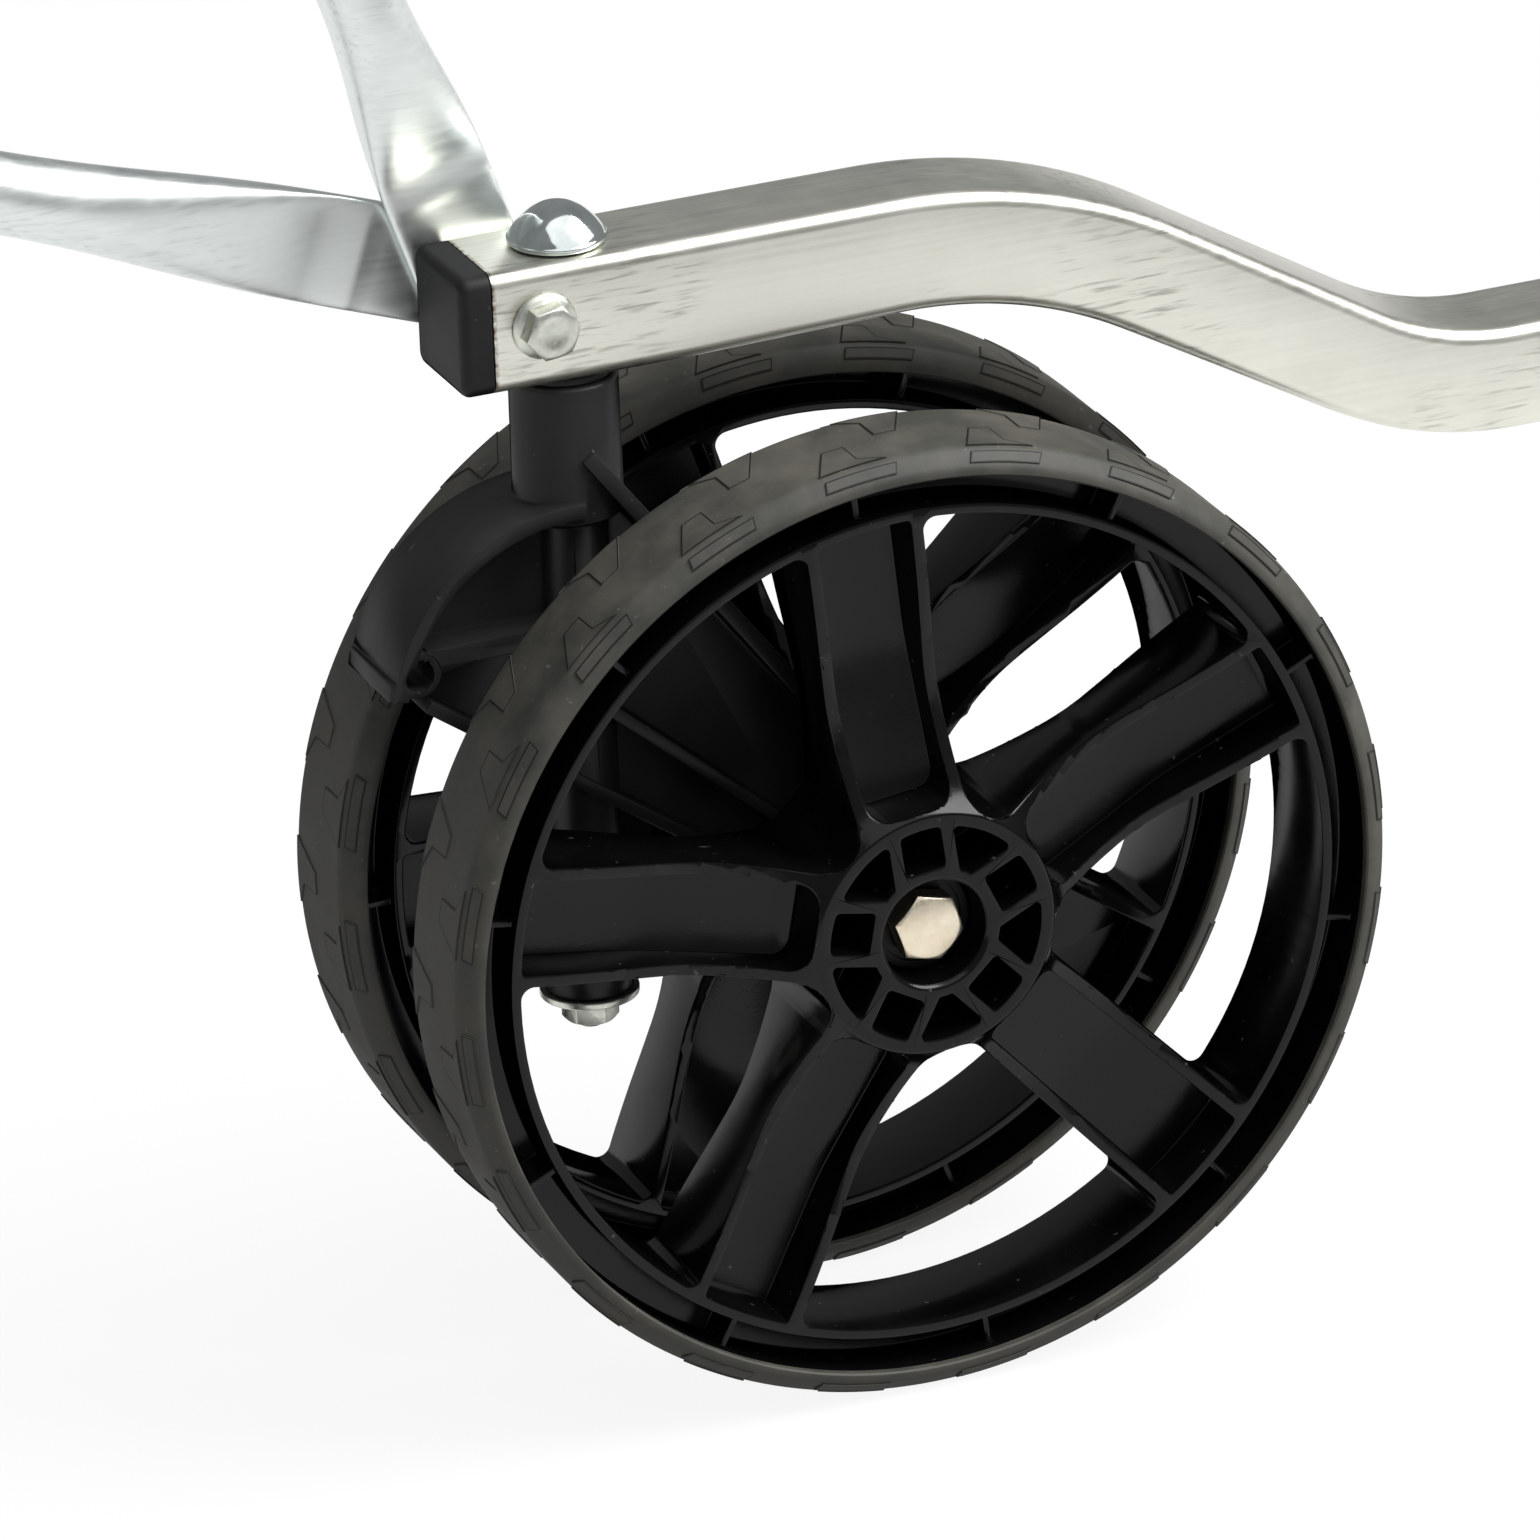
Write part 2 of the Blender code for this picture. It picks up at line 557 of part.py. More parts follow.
def build_yoke():
    axle = Vector((TRAIL, AXLE_HEIGHT))
    stem = STEM_DIAMETER / 2
    tube = TUBE_DIAMETER / 2
    collar = TUBE_COLLAR_DIAMETER / 2
    collar_top = TUBE_END + TUBE_COLLAR_HEIGHT
    front_x = SHOULDER_X - SHOULDER_RADIUS
    inside = SHOULDER_RADIUS - YOKE_FLANGE
    link_x = front_x + YOKE_FLANGE / 2 + LINK_BOSS_DIAMETER / 2
    link_z = SHOULDER_Z + 0.24 * SHOULDER_RADIUS
    rear_start = Vector((0.0, SHOULDER_TOP + 0.24 * SHOULDER_RADIUS))
    toward = axle - rear_start
    reach = AXLE_BOSS_RADIUS - 0.5 * YOKE_FLANGE
    tilt = math.asin(reach / toward.length)
    c, s = math.cos(tilt), math.sin(tilt)
    tangent = Vector((c * toward.x - s * toward.y, s * toward.x + c * toward.y)).normalized()
    rear_end = rear_start + tangent * math.sqrt(toward.length ** 2 - reach ** 2)

    shape = bmesh.new()
    profile = [(0, STEM_TOP), (stem - EDGE_CHAMFER, STEM_TOP), (stem, STEM_TOP - EDGE_CHAMFER),
               (stem, SHOULDER_TOP - 1.5 * YOKE_FLANGE), (tube, SHOULDER_TOP - 2 * YOKE_FLANGE),
               (tube, collar_top + TUBE_COLLAR_TAPER), (collar, collar_top), (collar, TUBE_END),
               (0, TUBE_END)]
    add_turned(shape, profile, UPRIGHT, 28, closed=False)
    item = solid("yoke", shape)

    turns = [math.radians(86 + 86 * step / 9) for step in range(10)]
    top = [(SHOULDER_X + inside * math.cos(t), SHOULDER_Z + inside * math.sin(t)) for t in turns]
    outside = [(SHOULDER_X + SHOULDER_RADIUS * math.cos(t), SHOULDER_Z + SHOULDER_RADIUS * math.sin(t))
               for t in turns]
    flange_line = [((u1 + u2) / 2, (v1 + v2) / 2) for (u1, v1), (u2, v2) in zip(top, outside)]
    web = [(rear_start.x + WEB_OVERLAP, rear_start.y - WEB_BELOW_REAR)] + flange_line
    web += [(link_x - 0.5 * WEB_OVERLAP, link_z - 0.3 * LINK_BOSS_DIAMETER)]
    lower_start = (link_x + 0.25 * LINK_BOSS_DIAMETER, link_z - 0.8 * LINK_BOSS_DIAMETER)
    lower_end = (axle.x - 0.2 * AXLE_BOSS_RADIUS, axle.y - 0.6 * AXLE_BOSS_RADIUS)
    web += [lower_start, lower_end, (axle.x, axle.y), (rear_end.x, rear_end.y)]

    pieces = []
    shape = bmesh.new()
    add_prism(shape, web, SIDE_PLAN, -YOKE_WEB / 2, YOKE_WEB / 2)
    pieces.append(solid("web", shape))
    shape = bmesh.new()
    add_prism(shape, outside + top[::-1], SIDE_PLAN, -YOKE_HALF, YOKE_HALF)
    pieces.append(solid("shoulder", shape))
    shape = bmesh.new()
    slab(shape, rear_start, rear_end, YOKE_FLANGE, YOKE_HALF)
    pieces.append(solid("rear", shape))
    shape = bmesh.new()
    rib_z = AXLE_HEIGHT + 1.25 * SHOULDER_ABOVE_AXLE
    slab(shape, (link_x + WEB_OVERLAP, rib_z), (-0.3 * tube, rib_z), LEVEL_RIB, 0.8 * YOKE_HALF)
    pieces.append(solid("level_rib", shape))
    shape = bmesh.new()
    slab(shape, lower_start, lower_end, YOKE_RIB, 0.7 * YOKE_HALF)
    pieces.append(solid("lower_rib", shape))
    shape = bmesh.new()
    rib_start = (0.3 * tube, AXLE_HEIGHT + 0.9 * SHOULDER_ABOVE_AXLE)
    slab(shape, rib_start, (axle.x - 0.7 * AXLE_BOSS_RADIUS, axle.y + 0.55 * AXLE_BOSS_RADIUS),
         YOKE_RIB, 0.7 * YOKE_HALF)
    pieces.append(solid("slant_rib", shape))
    shape = bmesh.new()
    add_rod(shape, AXLE_BOSS_RADIUS, -BOSS_HALF, BOSS_HALF, at(TRAIL, 0, AXLE_HEIGHT) @ SIDEWAYS, 28)
    pieces.append(solid("axle_boss", shape))
    shape = bmesh.new()
    link_half = 0.83 * YOKE_HALF
    add_rod(shape, LINK_BOSS_DIAMETER / 2, -link_half, link_half, at(link_x, 0, link_z) @ SIDEWAYS, 20)
    pieces.append(solid("link_boss", shape))
    for piece in pieces:
        combine(item, piece, "UNION")

    for side in (-1, 1):
        shape = bmesh.new()
        low, high = sorted((side * BOSS_HALF, side * 2 * YOKE_HALF))
        add_rod(shape, HUB_RADIUS + HUB_ROOM, low, high, at(TRAIL, 0, AXLE_HEIGHT) @ SIDEWAYS, 32)
        combine(item, solid("hub_room", shape), "DIFFERENCE")
    cut_hole(item, PIN_HOLE, TUBE_END - CUT_PAST, STEM_TOP + CUT_PAST, UPRIGHT)
    cut_hole(item, AXLE_HOLE, -2 * YOKE_HALF, 2 * YOKE_HALF, at(TRAIL, 0, AXLE_HEIGHT) @ SIDEWAYS)
    link = at(link_x, 0, link_z) @ SIDEWAYS
    cut_hole(item, LINK_HOLE_DIAMETER / 2, -2 * YOKE_HALF, 2 * YOKE_HALF, link, 20)
    finish_plastic(item, SWIVEL_POINT)


# Axle bolt, nut and spacers
def build_axle():
    place = at(TRAIL, 0, AXLE_HEIGHT) @ SIDEWAYS
    shank = AXLE_DIAMETER / 2
    end = HEAD_SEAT + AXLE_NUT_HEIGHT + AXLE_THREAD_PAST
    shape = bmesh.new()
    inside = -HEAD_SEAT - 0.2 * AXLE_HEAD_HEIGHT
    profile = [(0, inside), (shank, inside), (shank, end - EDGE_CHAMFER), (0.85 * shank, end), (0, end)]
    add_turned(shape, profile, place, 24, closed=False)
    item = solid("axle_bolt", shape)
    shape = bmesh.new()
    add_hex(shape, AXLE_HEAD_FLATS, -HEAD_SEAT, -HEAD_SEAT - AXLE_HEAD_HEIGHT, place, 13)
    combine(item, solid("head", shape), "UNION")
    finish_zinc(item, SWIVEL_POINT)
    nut_end = HEAD_SEAT + AXLE_NUT_HEIGHT
    build_nut("axle_nut", AXLE_HEAD_FLATS, HEAD_SEAT, nut_end, AXLE_HOLE, place, SWIVEL_POINT)
    for name, side in (("axle_spacer_near", -1), ("axle_spacer_far", 1)):
        shape = bmesh.new()
        low, high = sorted((side * (BOSS_HALF + GAP), side * (HALF_SPACING - BEARING_OUT - GAP)))
        add_pipe(shape, SPACER_DIAMETER / 2, AXLE_HOLE, low, high, place)
        finish_zinc(solid(name, shape), SWIVEL_POINT)


# Wheels: rim with hub, spokes and channel, then tyre and bearings
def edge_profile():
    return [(HUB_RADIUS, HUB_HALF),
            (1.19 * HUB_RADIUS, 0.75 * HUB_HALF),
            (0.89 * WAIST_RADIUS, 1.04 * WAIST_WIDTH / 2),
            (WAIST_RADIUS, WAIST_WIDTH / 2)]


def rim_profile():
    web = CHANNEL_WEB / 2
    front = [(SEAT_RADIUS, HUB_HALF)] + edge_profile()
    front += [(RING_OUTER, RING_HALF), (RING_OUTER, web), (BAND_INNER, web)]
    front += [(BAND_INNER, BAND_HALF), (BAND_OUTER, BAND_HALF)]
    collar = SPACER_DIAMETER / 2
    bore = [(SEAT_RADIUS, -COLLAR_HALF), (collar, -COLLAR_HALF)]
    bore += [(collar, COLLAR_HALF), (SEAT_RADIUS, COLLAR_HALF)]
    back = [(radius, -height) for radius, height in front]
    return front + back[::-1] + bore


def spoke_half(distance):
    part = (distance - HUB_RADIUS) / (RING_INNER - HUB_RADIUS)
    return (SPOKE_WIDTH_HUB + (SPOKE_WIDTH_RIM - SPOKE_WIDTH_HUB) * part) / 2


def window_outline():
    half_pitch = math.pi / SPOKE_COUNT
    apex = spoke_half(HUB_RADIUS) / math.sin(half_pitch)
    width = spoke_half(RING_INNER)
    edge = half_pitch - math.asin(width / RING_INNER)
    fillet = (HUB_RADIUS * math.sin(half_pitch) - spoke_half(HUB_RADIUS)) / (1 - math.sin(half_pitch))
    points = [(apex, 0)] + arc(RING_INNER, -edge, edge, 8)
    radii = [fillet, WINDOW_CORNER] + [0] * 7 + [WINDOW_CORNER]
    return rounded(points, radii, 4)


def pocket_outline():
    inner = HUB_RADIUS + POCKET_TO_HUB
    crease = WAIST_RADIUS
    hub_half = spoke_half(inner) - SPOKE_WALL
    crease_half = spoke_half(crease) - SPOKE_WALL
    rim_half = spoke_half(RING_INNER) - SPOKE_WALL
    edge = math.asin(rim_half / RING_INNER)
    points = [(inner, hub_half), (inner, -hub_half), (crease, -crease_half)]
    points += arc(RING_INNER, -edge, edge, 3) + [(crease, crease_half)]
    return rounded(points, [POCKET_CORNER, POCKET_CORNER, 0, 0, 0, 0, 0, 0], 2)


def add_pocket(shape, outline, place, top, floor, crease):
    upper = [shape.verts.new(place @ Vector((u, v, top))) for u, v in outline]
    lower = [shape.verts.new(place @ Vector((u, v, floor(u)))) for u, v in outline]
    add_rings(shape, [upper, lower], False)
    shape.faces.new(upper)
    shape.faces.new([vert for vert, (u, v) in zip(lower, outline) if u <= crease + 1e-6])
    shape.faces.new([vert for vert, (u, v) in zip(lower, outline) if u >= crease - 1e-6])


def front_floor(distance):
    if distance < WAIST_RADIUS:
        part = (WAIST_RADIUS - distance) / (WAIST_RADIUS - HUB_RADIUS)
        return FLOOR_AT_WAIST + (FLOOR_AT_HUB - FLOOR_AT_WAIST) * part
    part = (distance - WAIST_RADIUS) / (RING_INNER - WAIST_RADIUS)
    return FLOOR_AT_WAIST + (FLOOR_AT_RIM - FLOOR_AT_WAIST) * part


def back_floor(distance):
    return front_floor(distance) - SPOKE_WEB


def wheel_frame(angle, side):
    c, s = math.cos(angle), math.sin(angle)
    return Matrix(((c, -s, 0, 0), (0, 0, side, 0), (s, c, 0, 0), (0, 0, 0, 1)))


def hub_pockets():
    inner = SEAT_RADIUS + BEARING_WALL
    outer = HUB_RADIUS - HUB_WALL
    half = (HUB_RIB_SPACING - HUB_RIB) / 2
    rib = (HUB_RIB_SPACING + HUB_RIB) / 2
    half_pitch = math.pi / SPOKE_COUNT
    side = math.asin(half / outer)
    square = [(inner, half), (inner, -half)] + arc(outer, -side, side, 2)
    side = half_pitch - math.asin(rib / outer)
    tip = half_pitch - math.asin(rib / inner)
    wedge = arc(inner, tip, -tip, 1) + arc(outer, -side, side, 4)
    return square, wedge


def build_rim(name, side, spoke_angle, pivot):
    shape = bmesh.new()
    # Facets start a third of a step past a spoke, so that no cut runs along a facet edge
    start = math.radians(spoke_angle) + 2 * math.pi / (3 * WHEEL_STEPS)
    add_turned(shape, rim_profile(), at(*pivot) @ wheel_frame(start, side), WHEEL_STEPS)
    item = solid(name, shape)

    shape = bmesh.new()
    window = window_outline()
    pocket = pocket_outline()
    square, wedge = hub_pockets()
    deep = 1.3 * HUB_HALF
    for index in range(SPOKE_COUNT):
        turn = math.radians(spoke_angle) + 2 * math.pi * index / SPOKE_COUNT
        spoke = at(*pivot) @ wheel_frame(turn, side)
        between = at(*pivot) @ wheel_frame(turn + math.pi / SPOKE_COUNT, side)
        add_prism(shape, window, between, -deep, deep)
        add_pocket(shape, pocket, spoke, deep, front_floor, WAIST_RADIUS)
        add_pocket(shape, pocket, spoke, -deep, back_floor, WAIST_RADIUS)
        for outline, place in ((square, spoke), (wedge, between)):
            add_prism(shape, outline, place, HUB_FLOOR / 2, deep)
            add_prism(shape, outline, place, -deep, -HUB_FLOOR / 2)
    combine(item, solid("cutters", shape), "DIFFERENCE")

    shape = bmesh.new()
    low = RING_OUTER - 0.4 * RING_THICKNESS
    high = BAND_INNER + 0.5 * BAND_THICKNESS
    half = CHANNEL_RIB / 2
    for index in range(2 * SPOKE_COUNT):
        turn = math.radians(spoke_angle) + math.pi * index / SPOKE_COUNT
        place = at(*pivot) @ wheel_frame(turn, side)
        outline = [(low, half), (low, -half), (high, -half), (high, half)]
        add_prism(shape, outline, place, -0.8 * RING_HALF, 0.8 * RING_HALF)
    combine(item, solid("ribs", shape), "UNION")
    finish_plastic(item, pivot)


def build_tyre(name, pivot):
    half = TYRE_WIDTH / 2
    seat = BAND_OUTER + GAP
    inside = half - TYRE_LIP
    side_radius = WHEEL_RADIUS - SHOULDER_DROP
    front = [(seat, inside), (BAND_INNER, inside), (BAND_INNER, half), (side_radius, half),
             (WHEEL_RADIUS - CROWN_DROP, 0.88 * half), (WHEEL_RADIUS, 0.76 * half)]
    back = [(radius, -height) for radius, height in front]
    shape = bmesh.new()
    add_turned(shape, front + back[::-1], at(*pivot) @ SIDEWAYS, WHEEL_STEPS)
    finish(solid(name, shape), pivot, (0.025, 0.024, 0.022), 0.0, 0.75)


def build_bearing(name, low, side, pivot):
    outer = SEAT_RADIUS - GAP
    inner = AXLE_HOLE
    race = (outer - inner) * 0.3
    face = low + BEARING_WIDTH
    dip = face - SEAL_DEPTH
    profile = [(inner, low), (inner, face), (inner + race, face), (inner + race, dip),
               (outer - race, dip), (outer - race, face), (outer, face), (outer, low)]
    shape = bmesh.new()
    add_turned(shape, [(r, side * h) for r, h in profile], at(*pivot) @ SIDEWAYS, 20)
    finish(solid(name, shape), pivot, (0.05, 0.05, 0.05), 0.0, 0.5)


def build_wheel(word, side, spoke_angle):
    pivot = Vector((TRAIL, side * HALF_SPACING, AXLE_HEIGHT))
    build_rim("rim_" + word, side, spoke_angle, pivot)
    build_tyre("tyre_" + word, pivot)
    build_bearing("bearing_" + word + "_outer", BEARING_IN, side, pivot)
    build_bearing("bearing_" + word + "_inner", BEARING_IN, -side, pivot)


build_arm()
build_cap()
build_strut("upper_strut", UPPER_STRUT_RISE, UPPER_STRUT_SHIFT, UPPER_TAB_MIDDLE,
            UPPER_STRUT_FLAT, UPPER_STRUT_TAPER, UPPER_STRUT_LENGTH)
build_strut("lower_strut", LOWER_STRUT_RISE, 0.0, LOWER_TAB_MIDDLE,
            LOWER_STRUT_FLAT, LOWER_STRUT_TAPER, LOWER_STRUT_LENGTH)
build_strut_bolt()
build_swivel()
build_yoke()
build_axle()
build_wheel("near", -1, NEAR_SPOKE_ANGLE)
build_wheel("far", 1, FAR_SPOKE_ANGLE)
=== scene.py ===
import math
import bpy
import bmesh
from mathutils import Matrix, Vector


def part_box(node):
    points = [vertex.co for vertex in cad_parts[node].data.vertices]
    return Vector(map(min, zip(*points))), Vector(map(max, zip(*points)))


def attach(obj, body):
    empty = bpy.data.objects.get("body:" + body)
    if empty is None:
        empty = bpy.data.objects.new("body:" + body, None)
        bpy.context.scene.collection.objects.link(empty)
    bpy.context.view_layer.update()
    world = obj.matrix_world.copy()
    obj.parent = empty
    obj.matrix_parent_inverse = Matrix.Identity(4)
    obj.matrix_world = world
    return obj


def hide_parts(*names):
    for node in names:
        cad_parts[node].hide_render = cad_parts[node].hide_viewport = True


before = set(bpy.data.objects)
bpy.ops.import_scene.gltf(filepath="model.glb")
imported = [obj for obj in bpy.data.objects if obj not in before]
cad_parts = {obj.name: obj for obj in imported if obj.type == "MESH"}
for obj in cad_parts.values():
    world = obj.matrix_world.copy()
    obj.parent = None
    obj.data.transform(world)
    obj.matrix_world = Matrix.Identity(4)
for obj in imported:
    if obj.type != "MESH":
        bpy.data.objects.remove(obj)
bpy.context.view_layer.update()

# Shapes are drawn in millimetres on the castor's own axes: swivel axis at X = Y = 0, ground at Z = 0,
# +X back along the arm, +Y to the far wheel. toRow puts a finished mesh into the frame, in metres.
pinLow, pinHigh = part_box("swivel_pin")
tyreLow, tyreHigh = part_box("tyre_near")
castorOrigin = Vector(((pinLow.x + pinHigh.x) / 2, (pinLow.y + pinHigh.y) / 2, tyreLow.z))
toRow = Matrix.Translation(castorOrigin) @ Matrix.Scale(0.001, 4)
print("stage: frame loaded, castor origin", [round(v, 4) for v in castorOrigin])

gap = 0.3  # room between pieces that sit on each other, as in the solids

# alongY lays a Z-axis shape along +Y, sidePlan stands an X-Y outline up in X-Z
alongY = Matrix(((1, 0, 0, 0), (0, 0, 1, 0), (0, -1, 0, 0), (0, 0, 0, 1)))
sidePlan = Matrix(((1, 0, 0, 0), (0, 0, 1, 0), (0, 1, 0, 0), (0, 0, 0, 1)))


def acrossAt(x, z):
    return Matrix.Translation((x, 0, z)) @ alongY


# outlines
def fillet(points, radii, steps=6):  # rounds each corner that has a radius
    result = []
    count = len(points)
    for index, point in enumerate(points):
        if radii[index] == 0:
            result.append(tuple(point))
            continue
        here = Vector(point)
        back = (Vector(points[index - 1]) - here).normalized()
        ahead = (Vector(points[(index + 1) % count]) - here).normalized()
        half = back.angle(ahead) / 2
        centre = here + (back + ahead).normalized() * (radii[index] / math.sin(half))
        start = here + back * (radii[index] / math.tan(half)) - centre
        end = here + ahead * (radii[index] / math.tan(half)) - centre
        sweep = -start.angle_signed(end)
        for step in range(steps + 1):
            spoke = Matrix.Rotation(sweep * step / steps, 2) @ start
            result.append((centre.x + spoke.x, centre.y + spoke.y))
    return result


def arcLine(radius, first, last, steps, centre=(0, 0)):
    turns = [first + (last - first) * step / steps for step in range(steps + 1)]
    return [(centre[0] + radius * math.cos(t), centre[1] + radius * math.sin(t)) for t in turns]


def smoothLine(points, steps):  # a curve through all the points
    spots = [Vector(p) for p in points]
    spots = [2 * spots[0] - spots[1]] + spots + [2 * spots[-1] - spots[-2]]
    result = []
    for a, b, c, d in zip(spots, spots[1:], spots[2:], spots[3:]):
        for step in range(steps):
            t = step / steps
            spot = b + 0.5 * t * (c - a + t * (2 * a - 5 * b + 4 * c - d + t * (3 * (b - c) + d - a)))
            result.append((spot.x, spot.y))
    return result + [tuple(points[-1])]


def squareOutline(side, corner):
    half = side / 2
    return fillet([(half, half), (-half, half), (-half, -half), (half, -half)], [corner] * 4)


def slabOutline(start, end, thick):
    a, b = Vector(start), Vector(end)
    side = (b - a).orthogonal().normalized() * (thick / 2)
    return [tuple(p) for p in (a + side, a - side, b - side, b + side)]


# solids
def newVerts(grown):
    return [item for item in grown["geom"] if isinstance(item, bmesh.types.BMVert)]


def onlyEdges(items):
    return [item for item in items if isinstance(item, bmesh.types.BMEdge)]


def vertsOf(edges):
    return list({vert for edge in edges for vert in edge.verts})


def placed(bm, place):
    bmesh.ops.transform(bm, matrix=place, verts=bm.verts[:])
    bmesh.ops.recalc_face_normals(bm, faces=bm.faces[:])
    return bm


def turned(profile, place=Matrix(), steps=96, closed=True):
    bm = bmesh.new()
    verts = [bm.verts.new((r, 0, h)) for r, h in profile]
    edges = [bm.edges.new(pair) for pair in zip(verts, verts[1:])]
    if closed:
        edges.append(bm.edges.new((verts[-1], verts[0])))
    bmesh.ops.spin(bm, geom=verts + edges, axis=(0, 0, 1), cent=(0, 0, 0), angle=2 * math.pi, steps=steps,
                   use_merge=True)
    bmesh.ops.remove_doubles(bm, verts=bm.verts[:], dist=1e-4)
    return placed(bm, place)


def rod(radius, low, high, place, steps=48):
    return turned([(0, low), (radius, low), (radius, high), (0, high)], place, steps, closed=False)


def prism(outline, low, high, place=Matrix()):
    bm = bmesh.new()
    face = bm.faces.new([bm.verts.new((u, v, low)) for u, v in outline])
    grown = bmesh.ops.extrude_face_region(bm, geom=[face])
    bmesh.ops.translate(bm, vec=(0, 0, high - low), verts=newVerts(grown))
    return placed(bm, place)


def sliceAt(bm, x):
    everything = bm.verts[:] + bm.edges[:] + bm.faces[:]
    bmesh.ops.bisect_plane(bm, geom=everything, plane_co=(x, 0, 0), plane_no=(1, 0, 0))


def stepFace(bm, face, inset, depth, direction):  # a blind bore in a tube end, or a plug on a cap
    bmesh.ops.inset_region(bm, faces=[face], thickness=inset, use_even_offset=True)
    grown = bmesh.ops.extrude_face_region(bm, geom=[face])
    bmesh.ops.translate(bm, vec=Vector(direction) * depth, verts=newVerts(grown))
    bmesh.ops.delete(bm, geom=[face], context="FACES_ONLY")


def joined(parts):
    bm = bmesh.new()
    for part in parts:
        mesh = bpy.data.meshes.new("part")
        part.to_mesh(mesh)
        part.free()
        bm.from_mesh(mesh)
        bpy.data.meshes.remove(mesh)
    return bm


def toObject(name, bm):
    mesh = bpy.data.meshes.new(name)
    bm.to_mesh(mesh)
    bm.free()
    item = bpy.data.objects.new(name, mesh)
    bpy.context.scene.collection.objects.link(item)
    return item


def applied(item):
    graph = bpy.context.evaluated_depsgraph_get()
    mesh = bpy.data.meshes.new_from_object(item.evaluated_get(graph))
    item.modifiers.clear()
    item.data = mesh


def combine(item, bm, operation="DIFFERENCE"):
    other = toObject("other", bm)
    modifier = item.modifiers.new("combine", "BOOLEAN")
    modifier.operation = operation
    modifier.solver = "EXACT"
    modifier.object = other
    applied(item)
    bpy.data.objects.remove(other, do_unlink=True)


def mergeClose(item, distance=0.002):  # joins what a boolean leaves almost touching, and closes pinholes
    bm = bmesh.new()
    bm.from_mesh(item.data)
    bmesh.ops.remove_doubles(bm, verts=bm.verts[:], dist=distance)
    bmesh.ops.dissolve_degenerate(bm, dist=distance / 4, edges=bm.edges[:])
    bmesh.ops.holes_fill(bm, edges=[edge for edge in bm.edges if edge.is_boundary], sides=0)
    bmesh.ops.recalc_face_normals(bm, faces=bm.faces[:])
    bm.to_mesh(item.data)
    bm.free()


def softenEdges(item, width, segments=2, angle=32):
    modifier = item.modifiers.new("edges", "BEVEL")
    modifier.width = width
    modifier.segments = segments
    modifier.limit_method = "ANGLE"
    modifier.angle_limit = math.radians(angle)
    modifier.use_clamp_overlap = False
    modifier.loop_slide = False
    applied(item)


def finishPiece(item, body, node, material, smoothAngle=30):
    mergeClose(item)
    mesh = item.data
    mesh.transform(toRow)
    mesh.polygons.foreach_set("use_smooth", [True] * len(mesh.polygons))
    mesh.set_sharp_from_angle(angle=math.radians(smoothAngle))
    mesh.materials.clear()
    mesh.materials.append(material)
    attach(item, body)
    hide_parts(node)


# materials: a pattern's scale is 1000 / its size in millimetres
def colour(code):
    parts = [int(code[i:i + 2], 16) / 255 for i in (1, 3, 5)]
    return tuple(p / 12.92 if p <= 0.04045 else ((p + 0.055) / 1.055) ** 2.4 for p in parts) + (1.0,)


def setInputs(tree, node, inputs):
    for key, value in inputs.items():
        if isinstance(value, bpy.types.NodeSocket):
            tree.links.new(value, node.inputs[key])
        else:
            node.inputs[key].default_value = value


def addNode(tree, kind, inputs, **settings):
    node = tree.nodes.new("ShaderNode" + kind)
    for key, value in settings.items():
        setattr(node, key, value)
    setInputs(tree, node, inputs)
    return node


def startMaterial(name):
    material = bpy.data.materials.new(name)
    material.use_nodes = True
    tree = material.node_tree
    return material, tree, tree.nodes["Principled BSDF"], tree.nodes.new("ShaderNodeTexCoord").outputs["Object"]


def toneBetween(tree, pattern, low, high, first, second):  # first up to low, second from high
    share = addNode(tree, "MapRange", {0: pattern, 1: low, 2: high})
    return addNode(tree, "Mix", {0: share.outputs[0], 6: first, 7: second}, data_type="RGBA").outputs[2]


